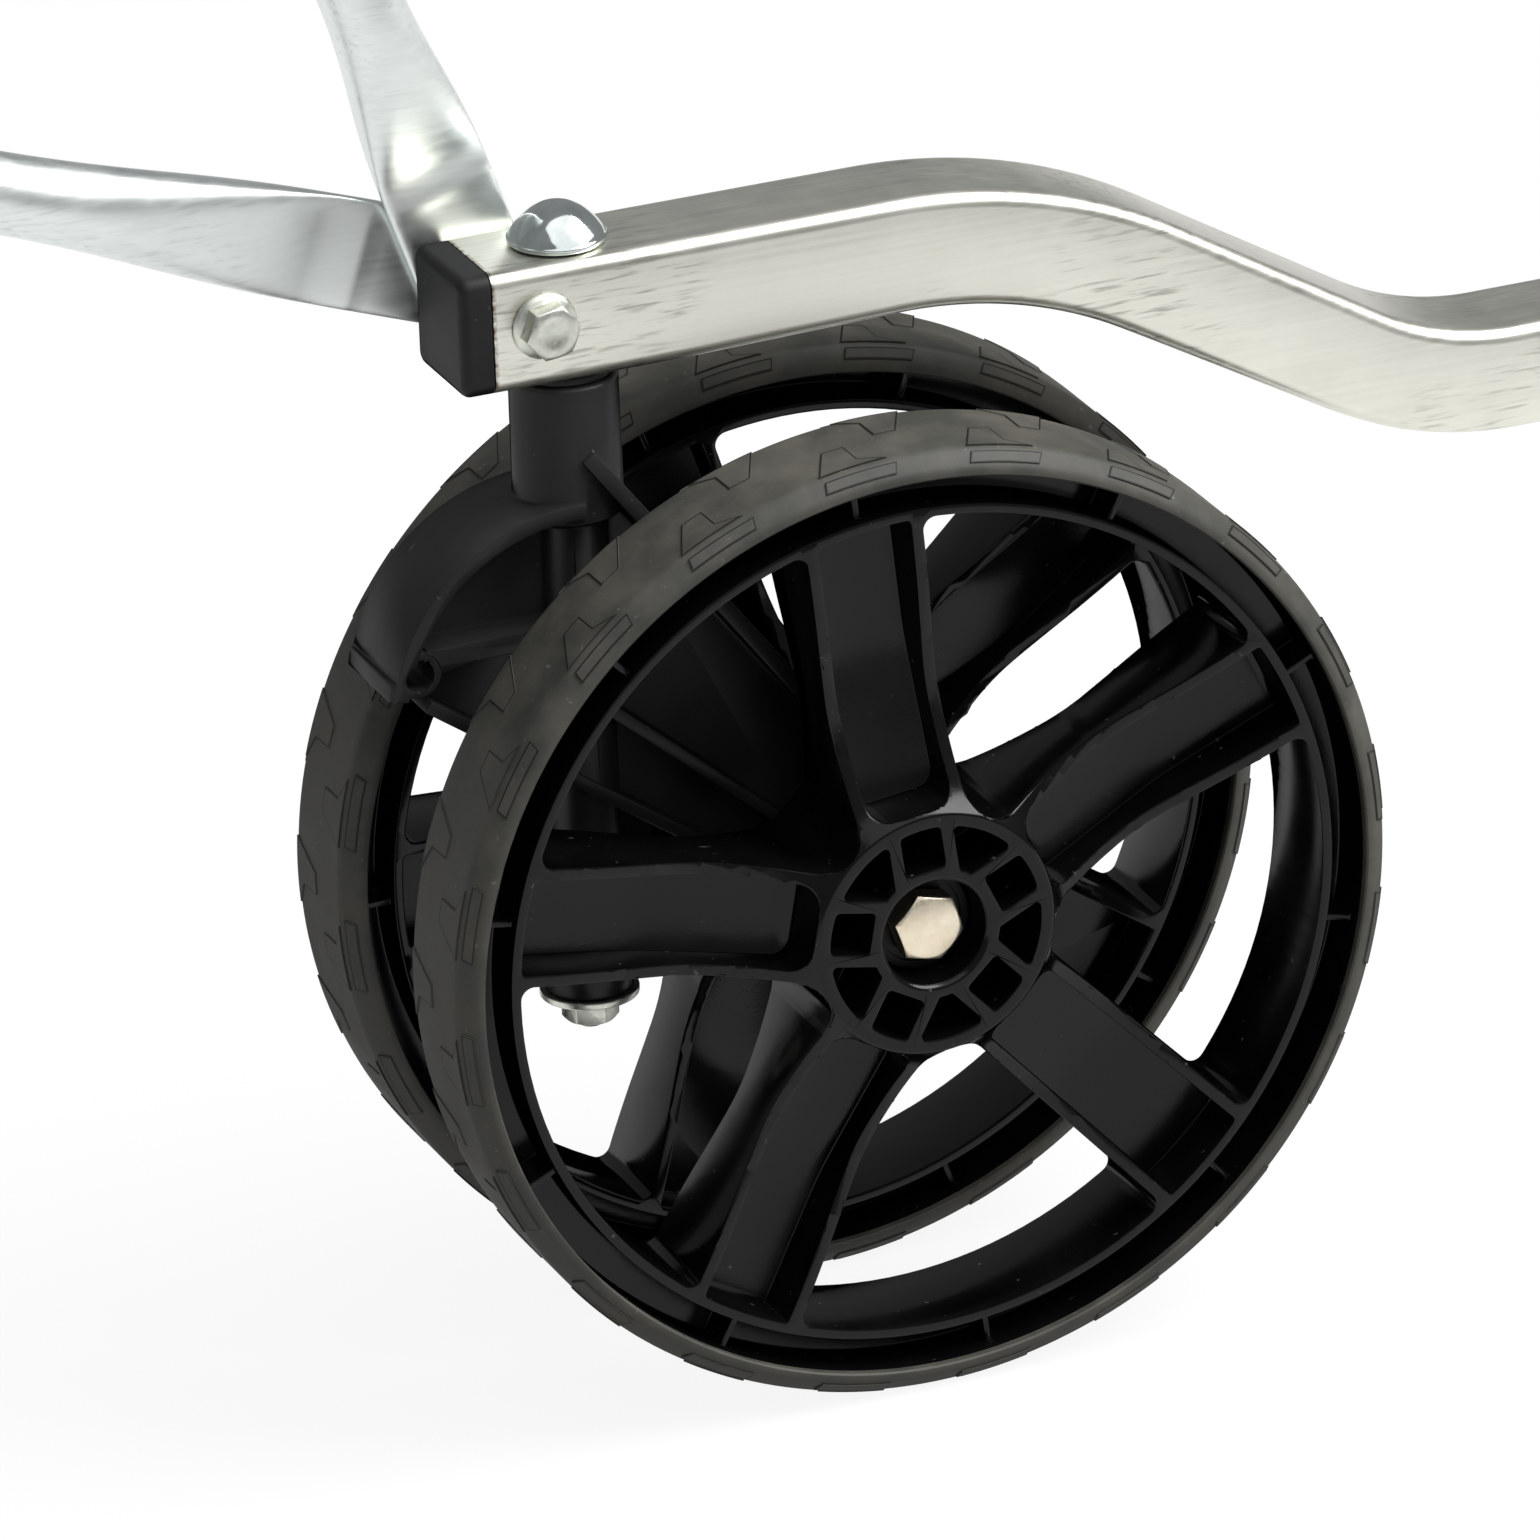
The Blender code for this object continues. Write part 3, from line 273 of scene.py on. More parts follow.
# Electro zinc-plated drawn tube: pale, a little warm and green, satin, with drawing lines along it, cloudy
# patches where the plating is thicker, and dark rubbed scuffs.
def zincTube(name, pale, deep, roughLow, roughHigh, wear, rustX=None):
    material, tree, shader, place = startMaterial(name)
    long = addNode(tree, "Mapping", {"Vector": place, "Scale": (1000 / 45, 1000 / 1.1, 1000 / 1.1)})
    lines = addNode(tree, "TexNoise", {"Vector": long.outputs[0], "Scale": 1.0, "Detail": 3.0})
    cloud = addNode(tree, "TexNoise", {"Vector": place, "Scale": 1000 / 16, "Detail": 4.0, "Roughness": 0.6})
    blend = addNode(tree, "Mix", {0: 0.45, 2: cloud.outputs["Fac"], 3: lines.outputs["Fac"]})
    tone = toneBetween(tree, blend.outputs[0], 0.34, 0.66, colour(deep), colour(pale))
    short = addNode(tree, "Mapping", {"Vector": place, "Scale": (1000 / 9, 1000 / 0.8, 1000 / 0.8)})
    specks = addNode(tree, "TexNoise", {"Vector": short.outputs[0], "Scale": 1.0, "Detail": 5.0})
    patches = addNode(tree, "TexNoise", {"Vector": place, "Scale": 1000 / 40, "Detail": 2.0})
    near = addNode(tree, "MapRange", {0: patches.outputs["Fac"], 1: 0.46, 2: 0.62})
    mark = addNode(tree, "MapRange", {0: specks.outputs["Fac"], 1: 0.54, 2: 0.68})
    scuff = addNode(tree, "Math", {0: near.outputs[0], 1: mark.outputs[0]}, operation="MULTIPLY")
    faint = addNode(tree, "Math", {0: scuff.outputs[0], 1: wear}, operation="MULTIPLY")
    top = addNode(tree, "Mix", {0: faint.outputs[0], 6: tone, 7: colour("#7f7c70")},
                  data_type="RGBA").outputs[2]
    if rustX is not None:  # brown bloom on the sawn end, under a millimetre wide
        split = addNode(tree, "SeparateXYZ", {0: place})
        edge = addNode(tree, "MapRange", {0: split.outputs[0], 1: rustX, 2: rustX + 0.0009, 3: 1.0, 4: 0.0})
        grain = addNode(tree, "TexNoise", {"Vector": place, "Scale": 1000 / 1.4, "Detail": 3.0})
        some = addNode(tree, "MapRange", {0: grain.outputs["Fac"], 1: 0.36, 2: 0.6})
        rust = addNode(tree, "Math", {0: edge.outputs[0], 1: some.outputs[0]}, operation="MULTIPLY")
        top = addNode(tree, "Mix", {0: rust.outputs[0], 6: top, 7: colour("#5d3a22")},
                      data_type="RGBA").outputs[2]
    rough = addNode(tree, "MapRange", {0: blend.outputs[0], 1: 0.3, 2: 0.7, 3: roughLow, 4: roughHigh})
    bump = addNode(tree, "Bump", {"Height": lines.outputs["Fac"], "Strength": 0.12, "Distance": 0.0002})
    setInputs(tree, shader, {"Base Color": top, "Roughness": rough.outputs[0], "Normal": bump.outputs[0],
                             "Metallic": 1.0})
    return material


# Bright zinc on cold-headed fasteners: near mirror, thin yellow-green cast, faint handling marks.
def brightZinc(name, pale, deep, rough):
    material, tree, shader, place = startMaterial(name)
    cloud = addNode(tree, "TexNoise", {"Vector": place, "Scale": 1000 / 5, "Detail": 4.0})
    tone = toneBetween(tree, cloud.outputs["Fac"], 0.35, 0.65, colour(deep), colour(pale))
    fine = addNode(tree, "TexNoise", {"Vector": place, "Scale": 1000 / 0.9, "Detail": 3.0})
    satin = addNode(tree, "MapRange", {0: fine.outputs["Fac"], 1: 0.3, 2: 0.7, 3: 0.8 * rough, 4: 1.35 * rough})
    setInputs(tree, shader, {"Base Color": tone, "Roughness": satin.outputs[0], "Metallic": 1.0})
    return material


# Moulded black plastic: very dark neutral grey, satin, fine tool grain, small pale handling specks. Its grained
# faces lose their gloss at a low angle.
def mouldedBlack(name, base, lift, rough, shine):
    material, tree, shader, place = startMaterial(name)
    cloud = addNode(tree, "TexNoise", {"Vector": place, "Scale": 1000 / 22, "Detail": 4.0})
    tone = toneBetween(tree, cloud.outputs["Fac"], 0.35, 0.68, colour(base), colour(lift))
    grit = addNode(tree, "TexNoise", {"Vector": place, "Scale": 1000 / 2.2, "Detail": 5.0})
    dust = toneBetween(tree, grit.outputs["Fac"], 0.70, 0.78, tone, colour("#55534f"))
    satin = addNode(tree, "MapRange", {0: cloud.outputs["Fac"], 1: 0.3, 2: 0.7,
                                       3: rough - 0.06, 4: rough + 0.08})
    grain = addNode(tree, "TexNoise", {"Vector": place, "Scale": 1000 / 0.5, "Detail": 2.0})
    bump = addNode(tree, "Bump", {"Height": grain.outputs["Fac"], "Strength": 0.12, "Distance": 0.0001})
    edge = addNode(tree, "LayerWeight", {"Blend": 0.5})
    gloss = addNode(tree, "MapRange", {0: edge.outputs["Facing"], 1: 0.3, 2: 0.78, 3: shine, 4: 0.0})
    setInputs(tree, shader, {"Base Color": dust, "Roughness": satin.outputs[0], "Normal": bump.outputs[0],
                             "Specular IOR Level": gloss.outputs[0]})
    return material


# Thermoplastic rubber tread: matt brown-grey, chalky where it has been handled, with dust specks, and a thin
# near-black ring painted on top of each tread block as painted shade for a groove round it.
def treadRubber(name, base, chalk):
    material, tree, shader, place = startMaterial(name)
    cloud = addNode(tree, "TexNoise", {"Vector": place, "Scale": 1000 / 14, "Detail": 5.0, "Roughness": 0.6})
    tone = toneBetween(tree, cloud.outputs["Fac"], 0.38, 0.7, colour(base), colour(chalk))
    grit = addNode(tree, "TexNoise", {"Vector": place, "Scale": 1000 / 1.8, "Detail": 5.0})
    dust = toneBetween(tree, grit.outputs["Fac"], 0.69, 0.76, tone, colour("#77736a"))
    # the "cut" attribute flags the thin ring round each block's top, painted near black as painted groove shade
    cut = addNode(tree, "Attribute", {}, attribute_name="cut")
    paintedGrooveShade = addNode(tree, "Mix", {0: cut.outputs["Fac"], 6: dust, 7: colour("#121211")}, data_type="RGBA")
    satin = addNode(tree, "MapRange", {0: cloud.outputs["Fac"], 1: 0.3, 2: 0.7, 3: 0.5, 4: 0.64})
    grain = addNode(tree, "TexNoise", {"Vector": place, "Scale": 1000 / 0.6, "Detail": 3.0})
    bump = addNode(tree, "Bump", {"Height": grain.outputs["Fac"], "Strength": 0.2, "Distance": 0.00012})
    edge = addNode(tree, "LayerWeight", {"Blend": 0.5})
    gloss = addNode(tree, "MapRange", {0: edge.outputs["Facing"], 1: 0.3, 2: 0.8, 3: 0.35, 4: 0.04})
    setInputs(tree, shader, {"Base Color": paintedGrooveShade.outputs[2], "Roughness": satin.outputs[0],
                             "Normal": bump.outputs[0], "Specular IOR Level": gloss.outputs[0]})
    return material


strutMaterial = zincTube("zincPlatedStrut", "#eef2f0", "#dde2e0", 0.32, 0.45, 0.2)
fastenerMaterial = brightZinc("brightZincFastener", "#dfe1d8", "#cdd0c4", 0.34)
domeMaterial = brightZinc("polishedZincDome", "#dfe4e2", "#c8d0cf", 0.1)
axleMaterial = brightZinc("warmZincBolt", "#f5ead5", "#e9dbc1", 0.34)
plasticMaterial = mouldedBlack("mouldedPolypropylene", "#050506", "#0b0b0c", 0.17, 0.26)
yokeMaterial = mouldedBlack("mouldedNylon", "#232323", "#2e2d2d", 0.36, 0.25)
capMaterial = mouldedBlack("mouldedPolythene", "#1f1f20", "#292929", 0.4, 0.2)
rubberMaterial = treadRubber("treadRubber", "#40403c", "#5a5851")
bearingMaterial = mouldedBlack("bearingSeal", "#0a0a0b", "#111112", 0.38, 0.25)
print("stage: materials made")


# wheels: radius from the axle, height from the wheel's middle plane
wheel = {"spacing": 62.2, "trail": 55.0, "width": 28.8, "axleHeight": 100.0,
         "bandOuter": 96.6, "bandInner": 94.6, "bandHalf": 12.3, "webHalf": 1.5,
         "ringOuter": 88.2, "ringInner": 86.1, "ringHalf": 11.9,
         "hub": 25.2, "hubHalf": 16.7, "hubRound": 0.8, "seat": 11.0, "collar": 6.0,
         "bearing": 7.0, "bearingOut": 8.3,
         "spokes": 5, "spokeHub": 11.4, "spokeRim": 12.45, "wall": 2.5, "floor": 3.0,
         "nearTurn": -47.0, "farTurn": 37.3}
spokeFace = [(27.0, 15.0), (30.0, 13.0), (35.0, 10.8), (40.0, 9.2), (46.0, 7.8), (52.0, 7.5), (60.0, 8.6),
             (70.0, 10.3), (79.0, 11.45), (84.6, wheel["ringHalf"])]  # outer face from hub to ring
pocketLook = {"hubFloor": 4.6, "waistFloor": -0.6, "rimFloor": 0.7, "kink": 57.0, "soft": 0.4, "softDrop": 0.25,
              "slices": (32, 38, 44, 50, 53, 55, 57, 59, 62, 70), "fromHub": 0.6, "corner": 3.6, "rimCorner": 0.9,
              "windowCorner": 2.5, "reach": 24.0, "hubRibGap": 4.3, "hubRib": 7.0, "hubWall": 2.6,
              "seatWall": 2.8, "hubWebHalf": 2.0, "hubCorner": 0.9, "hubTip": 0.6, "rib": 1.4, "ribHalf": 9.5,
              "ribSink": 1.0, "merge": 0.02, "edge": 0.35}


def wheelPlace(side, turn):
    c, s = math.cos(turn), math.sin(turn)
    return Matrix(((c, -s, 0, wheel["trail"]), (0, 0, side, side * wheel["spacing"] / 2),
                   (s, c, 0, wheel["axleHeight"]), (0, 0, 0, 1)))


def spokeHalf(distance):
    part = (distance - wheel["hub"]) / (wheel["ringInner"] - wheel["hub"])
    return wheel["spokeHub"] + (wheel["spokeRim"] - wheel["spokeHub"]) * part


def rimProfile():
    seat, hubHalf, inner = wheel["seat"], wheel["hubHalf"], wheel["bandInner"]
    front = [(seat, hubHalf - wheel["hubRound"]), (seat + wheel["hubRound"], hubHalf)]
    front += smoothLine([(wheel["hub"], hubHalf)] + spokeFace, 3)
    front += [(wheel["ringOuter"], wheel["ringHalf"]), (wheel["ringOuter"], wheel["webHalf"])]
    front += [(inner, wheel["webHalf"]), (inner, wheel["bandHalf"]), (wheel["bandOuter"], wheel["bandHalf"])]
    step = wheel["bearingOut"] - wheel["bearing"] - gap
    bore = [(seat, -step), (wheel["collar"], -step), (wheel["collar"], step), (seat, step)]
    return front + [(r, -h) for r, h in front[::-1]] + bore


def windowOutline():
    pitch = math.pi / wheel["spokes"]
    apex = spokeHalf(wheel["hub"]) / math.sin(pitch)
    edge = pitch - math.asin(spokeHalf(wheel["ringInner"]) / wheel["ringInner"])
    hubEnd = (wheel["hub"] * math.sin(pitch) - spokeHalf(wheel["hub"])) / (1 - math.sin(pitch))
    corner = pocketLook["windowCorner"]
    points = [(apex, 0)] + arcLine(wheel["ringInner"], -edge, edge, 22)
    return fillet(points, [hubEnd, corner] + [0] * 21 + [corner], 8)


def floorHeight(distance):  # two slopes that meet in a rounded crease
    look, waist, kink, soft = pocketLook, pocketLook["waistFloor"], pocketLook["kink"], pocketLook["soft"]
    inward = waist + (look["hubFloor"] - waist) * (kink - distance) / (kink - wheel["hub"])
    outward = waist + (look["rimFloor"] - waist) * (distance - kink) / (wheel["ringInner"] - kink)
    return soft * math.log(math.exp(inward / soft) + math.exp(outward / soft)) - look["softDrop"]


def pocketCutter(place, top, sink):
    inner = wheel["hub"] + pocketLook["fromHub"]
    edge = math.asin((spokeHalf(wheel["ringInner"]) - wheel["wall"]) / wheel["ringInner"])
    hubSide = spokeHalf(inner) - wheel["wall"]
    points = [(inner, hubSide), (inner, -hubSide)] + arcLine(wheel["ringInner"], -edge, edge, 6)
    corner, rimCorner = pocketLook["corner"], pocketLook["rimCorner"]
    outline = fillet(points, [corner, corner, rimCorner] + [0] * 5 + [rimCorner])
    bm = prism(outline, min(0.0, top), max(0.0, top))
    for distance in pocketLook["slices"]:
        sliceAt(bm, distance)
    for vert in bm.verts:
        if abs(vert.co.z) < 1e-6:
            vert.co.z = floorHeight(vert.co.x) - sink
    return placed(bm, place)


def hubCutters(spoke, between):
    look, pitch = pocketLook, math.pi / wheel["spokes"]
    inner, outer = wheel["seat"] + look["seatWall"], wheel["hub"] - look["hubWall"]
    half, rib, corner, tip = look["hubRibGap"], look["hubRib"], look["hubCorner"], look["hubTip"]
    side = math.asin(half / outer)
    square = fillet([(inner, half), (inner, -half)] + arcLine(outer, -side, side, 4),
                    [corner] * 3 + [0] * 3 + [corner], 4)
    side = pitch - math.asin(rib / outer)
    start = pitch - math.asin(rib / inner)
    wedge = fillet(arcLine(inner, start, -start, 2) + arcLine(outer, -side, side, 8),
                   [tip, 0, tip, corner] + [0] * 7 + [corner], 4)
    low, high = look["hubWebHalf"], look["reach"]
    parts = []
    for outline, place in ((square, spoke), (wedge, between)):
        parts += [prism(outline, low, high, place), prism(outline, -high, -low, place)]
    return parts


def makeRim(name, body, node, side, turn):
    rim = toObject(name, turned(rimProfile(), wheelPlace(side, 0.0), 160))
    reach, thin, ribHalf = pocketLook["reach"], pocketLook["rib"] / 2, pocketLook["ribHalf"]
    start, end = wheel["ringOuter"] - pocketLook["ribSink"], wheel["bandInner"] + pocketLook["ribSink"]
    ribOutline = [(start, thin), (start, -thin), (end, -thin), (end, thin)]
    cutters, ribs = [], []
    for index in range(wheel["spokes"]):
        angle = math.radians(turn) + 2 * math.pi * index / wheel["spokes"]
        spoke = wheelPlace(side, angle)
        between = wheelPlace(side, angle + math.pi / wheel["spokes"])
        cutters.append(prism(windowOutline(), -reach, reach, between))
        cutters += [pocketCutter(spoke, reach, 0.0), pocketCutter(spoke, -reach, wheel["floor"])]
        cutters += hubCutters(spoke, between)
        ribs += [prism(ribOutline, -ribHalf, ribHalf, place) for place in (spoke, between)]
    combine(rim, joined(cutters))
    combine(rim, joined(ribs), "UNION")
    mergeClose(rim, pocketLook["merge"])
    softenEdges(rim, pocketLook["edge"])
    finishPiece(rim, body, node, plasticMaterial)


# crownLine gives the drop below the crown at each height, block and bar are outlines laid round the wheel
tread = {"cells": 20, "start": 83.0, "shift": 3.0, "crown": 99.78, "crease": 10.9, "raise": 0.2, "root": 0.5,
         "crownLine": [(0.0, 0.0), (0.0, 5.0), (0.0, 9.0), (0.03, 10.3)], "creaseDrop": 0.16,
         "shoulder": [(99.1, 11.75), (96.9, 13.8), (96.2, 14.2)], "wallTop": 95.5, "wallFoot": 94.95,
         "lip": 0.35, "hook": 1.8, "bed": 96.9,
         "block": [(0.0, 0.0), (4.6, 9.7), (9.3, 9.8), (9.4, 3.0), (14.4, 0.1)], "fromCrease": 0.3, "lean": 0.2,
         "bar": [(0.6, 0.0), (16.0, 0.0), (15.2, 2.5), (-0.1, 2.5)], "barRadius": 99.0, "barLevel": 11.85,
         "barIn": 0.73, "barOut": 0.68, "barRaise": 1.1, "grooveShadeWidth": 0.3, "slice": 2.0, "wrap": 99.4}


def tyreProfile():
    half, foot = wheel["width"] / 2, wheel["bandInner"]
    crownLine = tread["crownLine"] + [(tread["creaseDrop"], tread["crease"])]
    front = [(tread["crown"] - drop, height) for drop, height in crownLine] + tread["shoulder"]
    front += [(tread["wallTop"], half), (tread["wallFoot"], half), (foot, half - tread["lip"])]
    front += [(foot, half - tread["hook"]), (tread["bed"], half - tread["hook"])]
    return front + [(r, -h) for r, h in front[:0:-1]]


def treadBlock(outline, onShoulder):
    bm = prism(outline, -tread["root"], tread["raise"])
    # a thin ring round the block's top is flagged "cut" and painted dark as the shade of a groove
    cut = bm.faces.layers.float.new("cut")
    top = max(bm.faces, key=lambda f: f.calc_center_median().z)
    grooveShadeRing = bmesh.ops.inset_region(bm, faces=[top], thickness=tread["grooveShadeWidth"], use_even_offset=True)["faces"]
    for face in grooveShadeRing:
        face[cut] = 1.0
    lengths = [u for u, v in outline]
    spot = min(lengths) + tread["slice"]
    while spot < max(lengths):
        sliceAt(bm, spot)
        spot += tread["slice"]
    for vert in bm.verts:
        along, across, lift = vert.co
        if onShoulder:  # runs down the slope from the crease to the side wall
            radius = tread["barRadius"] - tread["barIn"] * across + tread["barRaise"] * lift
            level = tread["barLevel"] + tread["barOut"] * across + tread["barRaise"] * lift
        else:  # the moulded edges lean in a little
            radius = tread["crown"] + lift
            level = tread["crease"] - tread["fromCrease"] - across + (tread["lean"] if lift > 0 else 0.0)
        vert.co = (radius * math.cos(along / tread["wrap"]), radius * math.sin(along / tread["wrap"]), level)
    return bm


def makeTyre(name, body, node, side):
    parts = [turned(tyreProfile(), wheelPlace(side, 0.0), 240)]
    for index in range(tread["cells"]):
        for face in (1, -1):
            seen = face if side < 0 else -face  # the two edges of the tread run opposite ways round
            turn = tread["start"] + 360 * index / tread["cells"] + (0.0 if seen > 0 else tread["shift"])
            place = wheelPlace(side, math.radians(turn)) @ Matrix.Diagonal((1, -seen, face, 1))
            for shape, onShoulder in ((tread["block"], False), (tread["bar"], True)):
                parts.append(placed(treadBlock(shape, onShoulder), place))
    finishPiece(toObject(name, joined(parts)), body, node, rubberMaterial, 35)


bearingLook = {"outer": 10.7, "inner": 4.3, "sealInner": 6.1, "sealOuter": 8.9, "sealSlope": 0.1, "sealSink": 0.5,
               "outerEdge": 0.3, "innerEdge": 0.2}


def makeBearing(name, body, node, side, face):
    look, outer, inner = bearingLook, bearingLook["outer"], bearingLook["inner"]
    low, high = wheel["bearingOut"] - wheel["bearing"], wheel["bearingOut"]
    floor = high - look["sealSink"]
    profile = [(inner, low), (inner, high - look["innerEdge"]), (inner + look["innerEdge"], high),
               (look["sealInner"], high), (look["sealInner"] + look["sealSlope"], floor),
               (look["sealOuter"] - look["sealSlope"], floor), (look["sealOuter"], high),
               (outer - look["outerEdge"], high), (outer, high - look["outerEdge"]), (outer, low)]
    ring = toObject(name, turned([(r, face * h) for r, h in profile], wheelPlace(side, 0.0), 64))
    finishPiece(ring, body, node, bearingMaterial)


for word, side, turn in (("Near", -1, wheel["nearTurn"]), ("Far", 1, wheel["farTurn"])):
    body = "wheel_" + word.lower()
    makeRim("rim" + word, body, "rim_" + word.lower(), side, turn)
    makeTyre("tyre" + word, body, "tyre_" + word.lower(), side)
    for end, face in (("Outer", 1), ("Inner", -1)):
        makeBearing("bearing" + word + end, body, "bearing_" + word.lower() + "_" + end.lower(), side, face)
print("stage: wheels made")


# frame arm and its end cap
armLook = {"front": 18.8, "straight": 67.0, "bend": 31.0, "firstRadius": 105.0, "secondRadius": 70.0,
           "slope": 50.5, "tail": 38.0, "side": 25.0, "corner": 3.0, "wall": 2.0, "low": 214.9,
           "tailDepth": 22.0, "drawFrom": 21.7, "drawShare": 0.8, "firstRun": 54.0, "levelFrom": 200.0,
           "secondRun": 36.0, "tailSolid": 4.0, "frontBore": 6.5}
armMaterial = zincTube("zincPlatedArm", "#efeee3", "#dddcd1", 0.28, 0.4, 0.55,
                       castorOrigin.x - armLook["front"] / 1000)


def makeArm():
    bend, middle = math.radians(armLook["bend"]), armLook["low"] + armLook["side"] / 2
    bm = bmesh.new()
    lower = bm.verts.layers.float.new("lower")
    outline = squareOutline(armLook["side"], armLook["corner"])
    frontFace = bm.faces.new([bm.verts.new((-armLook["front"], v, middle + w)) for v, w in outline])
    for vert in bm.verts:
        vert[lower] = 1.0 if vert.co.z < middle else 0.0

    def straight(edges, vec, cuts):
        for cut in range(cuts):
            edges = onlyEdges(bmesh.ops.extrude_edge_only(bm, edges=edges)["geom"])
            bmesh.ops.translate(bm, vec=Vector(vec) / cuts, verts=vertsOf(edges))
        return edges

    def bent(edges, centre, angle, steps):
        grown = bmesh.ops.spin(bm, geom=vertsOf(edges) + edges, axis=(0, 1, 0), cent=centre, angle=angle,
                               steps=steps)
        return onlyEdges(grown["geom_last"])

    ends = straight(frontFace.edges[:], (armLook["front"] + armLook["straight"], 0, 0), cuts=12)
    ends = bent(ends, (armLook["straight"], 0, middle - armLook["firstRadius"]), bend, steps=18)
    ends = straight(ends, (armLook["slope"] * math.cos(bend), 0, -armLook["slope"] * math.sin(bend)), cuts=8)
    last = sum((v.co for e in ends for v in e.verts), Vector()) / (2 * len(ends))
    up = Vector((math.sin(bend), 0, math.cos(bend)))
    ends = bent(ends, last + up * armLook["secondRadius"], -bend, steps=16)
    ends = straight(ends, (armLook["tail"], 0, 0), cuts=4)
    tailX = max(v.co.x for v in bm.verts)
    drawRun = armLook["drawShare"] * (tailX - armLook["tail"] - armLook["drawFrom"])
    for vert in bm.verts:  # the tube draws in on its lower side as it is bent
        part = (vert.co.x - armLook["drawFrom"]) / drawRun
        drawn = max(0.0, min(1.0, part)) * (armLook["side"] - armLook["tailDepth"])
        slant = max(0.0, min(1.0, (vert.co.x - armLook["straight"]) / armLook["firstRun"],
                             (armLook["levelFrom"] - vert.co.x) / armLook["secondRun"]))
        vert.co.z += vert[lower] * drawn / math.cos(bend * slant)
    tailFace = bmesh.ops.contextual_create(bm, geom=ends)["faces"][0]
    bmesh.ops.recalc_face_normals(bm, faces=bm.faces[:])
    stepFace(bm, tailFace, armLook["wall"], armLook["tail"] - armLook["tailSolid"], (-1, 0, 0))
    stepFace(bm, frontFace, armLook["wall"], armLook["frontBore"], (1, 0, 0))
    bmesh.ops.recalc_face_normals(bm, faces=bm.faces[:])
    finishPiece(toObject("frameArm", bm), "frame", "frame_arm", armMaterial)


capLook = {"head": 6.4, "round": 2.2, "plugInset": 2.3, "plug": 4.8}


def makeCap():
    middle = armLook["low"] + armLook["side"] / 2
    front = -armLook["front"] - gap - capLook["head"]
    outline = squareOutline(armLook["side"], armLook["corner"])
    bm = bmesh.new()
    face = bm.faces.new([bm.verts.new((front, v, middle + w)) for v, w in outline])
    grown = bmesh.ops.extrude_face_region(bm, geom=[face])
    bmesh.ops.translate(bm, vec=(capLook["head"], 0, 0), verts=newVerts(grown))
    rim = [e for e in bm.edges if all(abs(v.co.x - front) < 1e-4 for v in e.verts)]
    bmesh.ops.bevel(bm, geom=rim, offset=capLook["round"], offset_type="OFFSET", affect="EDGES", segments=6,
                    profile=0.5, material=-1)
    back = max(bm.faces, key=lambda f: f.calc_center_median().x)
    stepFace(bm, back, capLook["plugInset"], capLook["plug"], (1, 0, 0))
    bmesh.ops.recalc_face_normals(bm, faces=bm.faces[:])
    finishPiece(toObject("endCap", bm), "frame", "arm_end_cap", capMaterial, 40)


makeArm()
makeCap()
print("stage: arm and cap made")


# struts: round tube pressed flat at one end, with the press tool's step across it
strutLook = {"radius": 8.0, "wall": 1.2, "tab": 2.4, "boltX": -8.3, "boltZ": 228.0, "ring": 48, "square": 6.0,
             "tabShares": (-0.985, -0.94, -0.86, -0.75, -0.6, -0.4, -0.2, 0.0), "stepRun": 0.7, "stepCrest": 1.4,
             "stepFoot": 0.8, "roundSteps": 24, "bore": 10.0}
upperStrut = {"rise": 71.2, "shift": 3.3, "tabY": 14.0, "press": 20.2, "step": 3.4, "lift": 0.16, "round": 68.0,
              "length": 81.85}
lowerStrut = {"rise": 19.7, "shift": 0.0, "tabY": 16.7, "press": 27.0, "step": 3.0, "lift": 0.12, "round": 108.0,
              "length": 119.85}


def strutStations(look):  # distance from the bolt, half width, half depth, how square the section is
    radius, thin, square = strutLook["radius"], strutLook["tab"] / 2, strutLook["square"]
    flat = math.sqrt(2) * radius
    press, lift, run = look["press"], look["lift"], strutLook["stepRun"]
    end, foot = press + look["step"], thin + strutLook["stepFoot"] * lift
    stations = [(part * flat, flat * math.sqrt(1 - part * part), thin, square) for part in strutLook["tabShares"]]
    stations += [(share * press, flat, thin, square) for share in (0.5, 0.9, 1.0)]
    stations += [(press + run, flat, thin + lift, square),
                 (end - run, flat, thin + strutLook["stepCrest"] * lift, square), (end, flat, foot, square)]
    for step in range(1, strutLook["roundSteps"] + 1):
        blend = step / strutLook["roundSteps"]
        ease = blend * blend * (3 - 2 * blend)
        half = flat + (radius - flat) * ease
        depth = max(math.sqrt(max(2 * radius ** 2 - half ** 2, 0)), foot)
        stations.append((end + (look["round"] - end) * blend, half, depth, 2 + (square - 2) * (1 - ease) ** 2))
    return stations + [(look["length"], radius, radius, 2.0)]


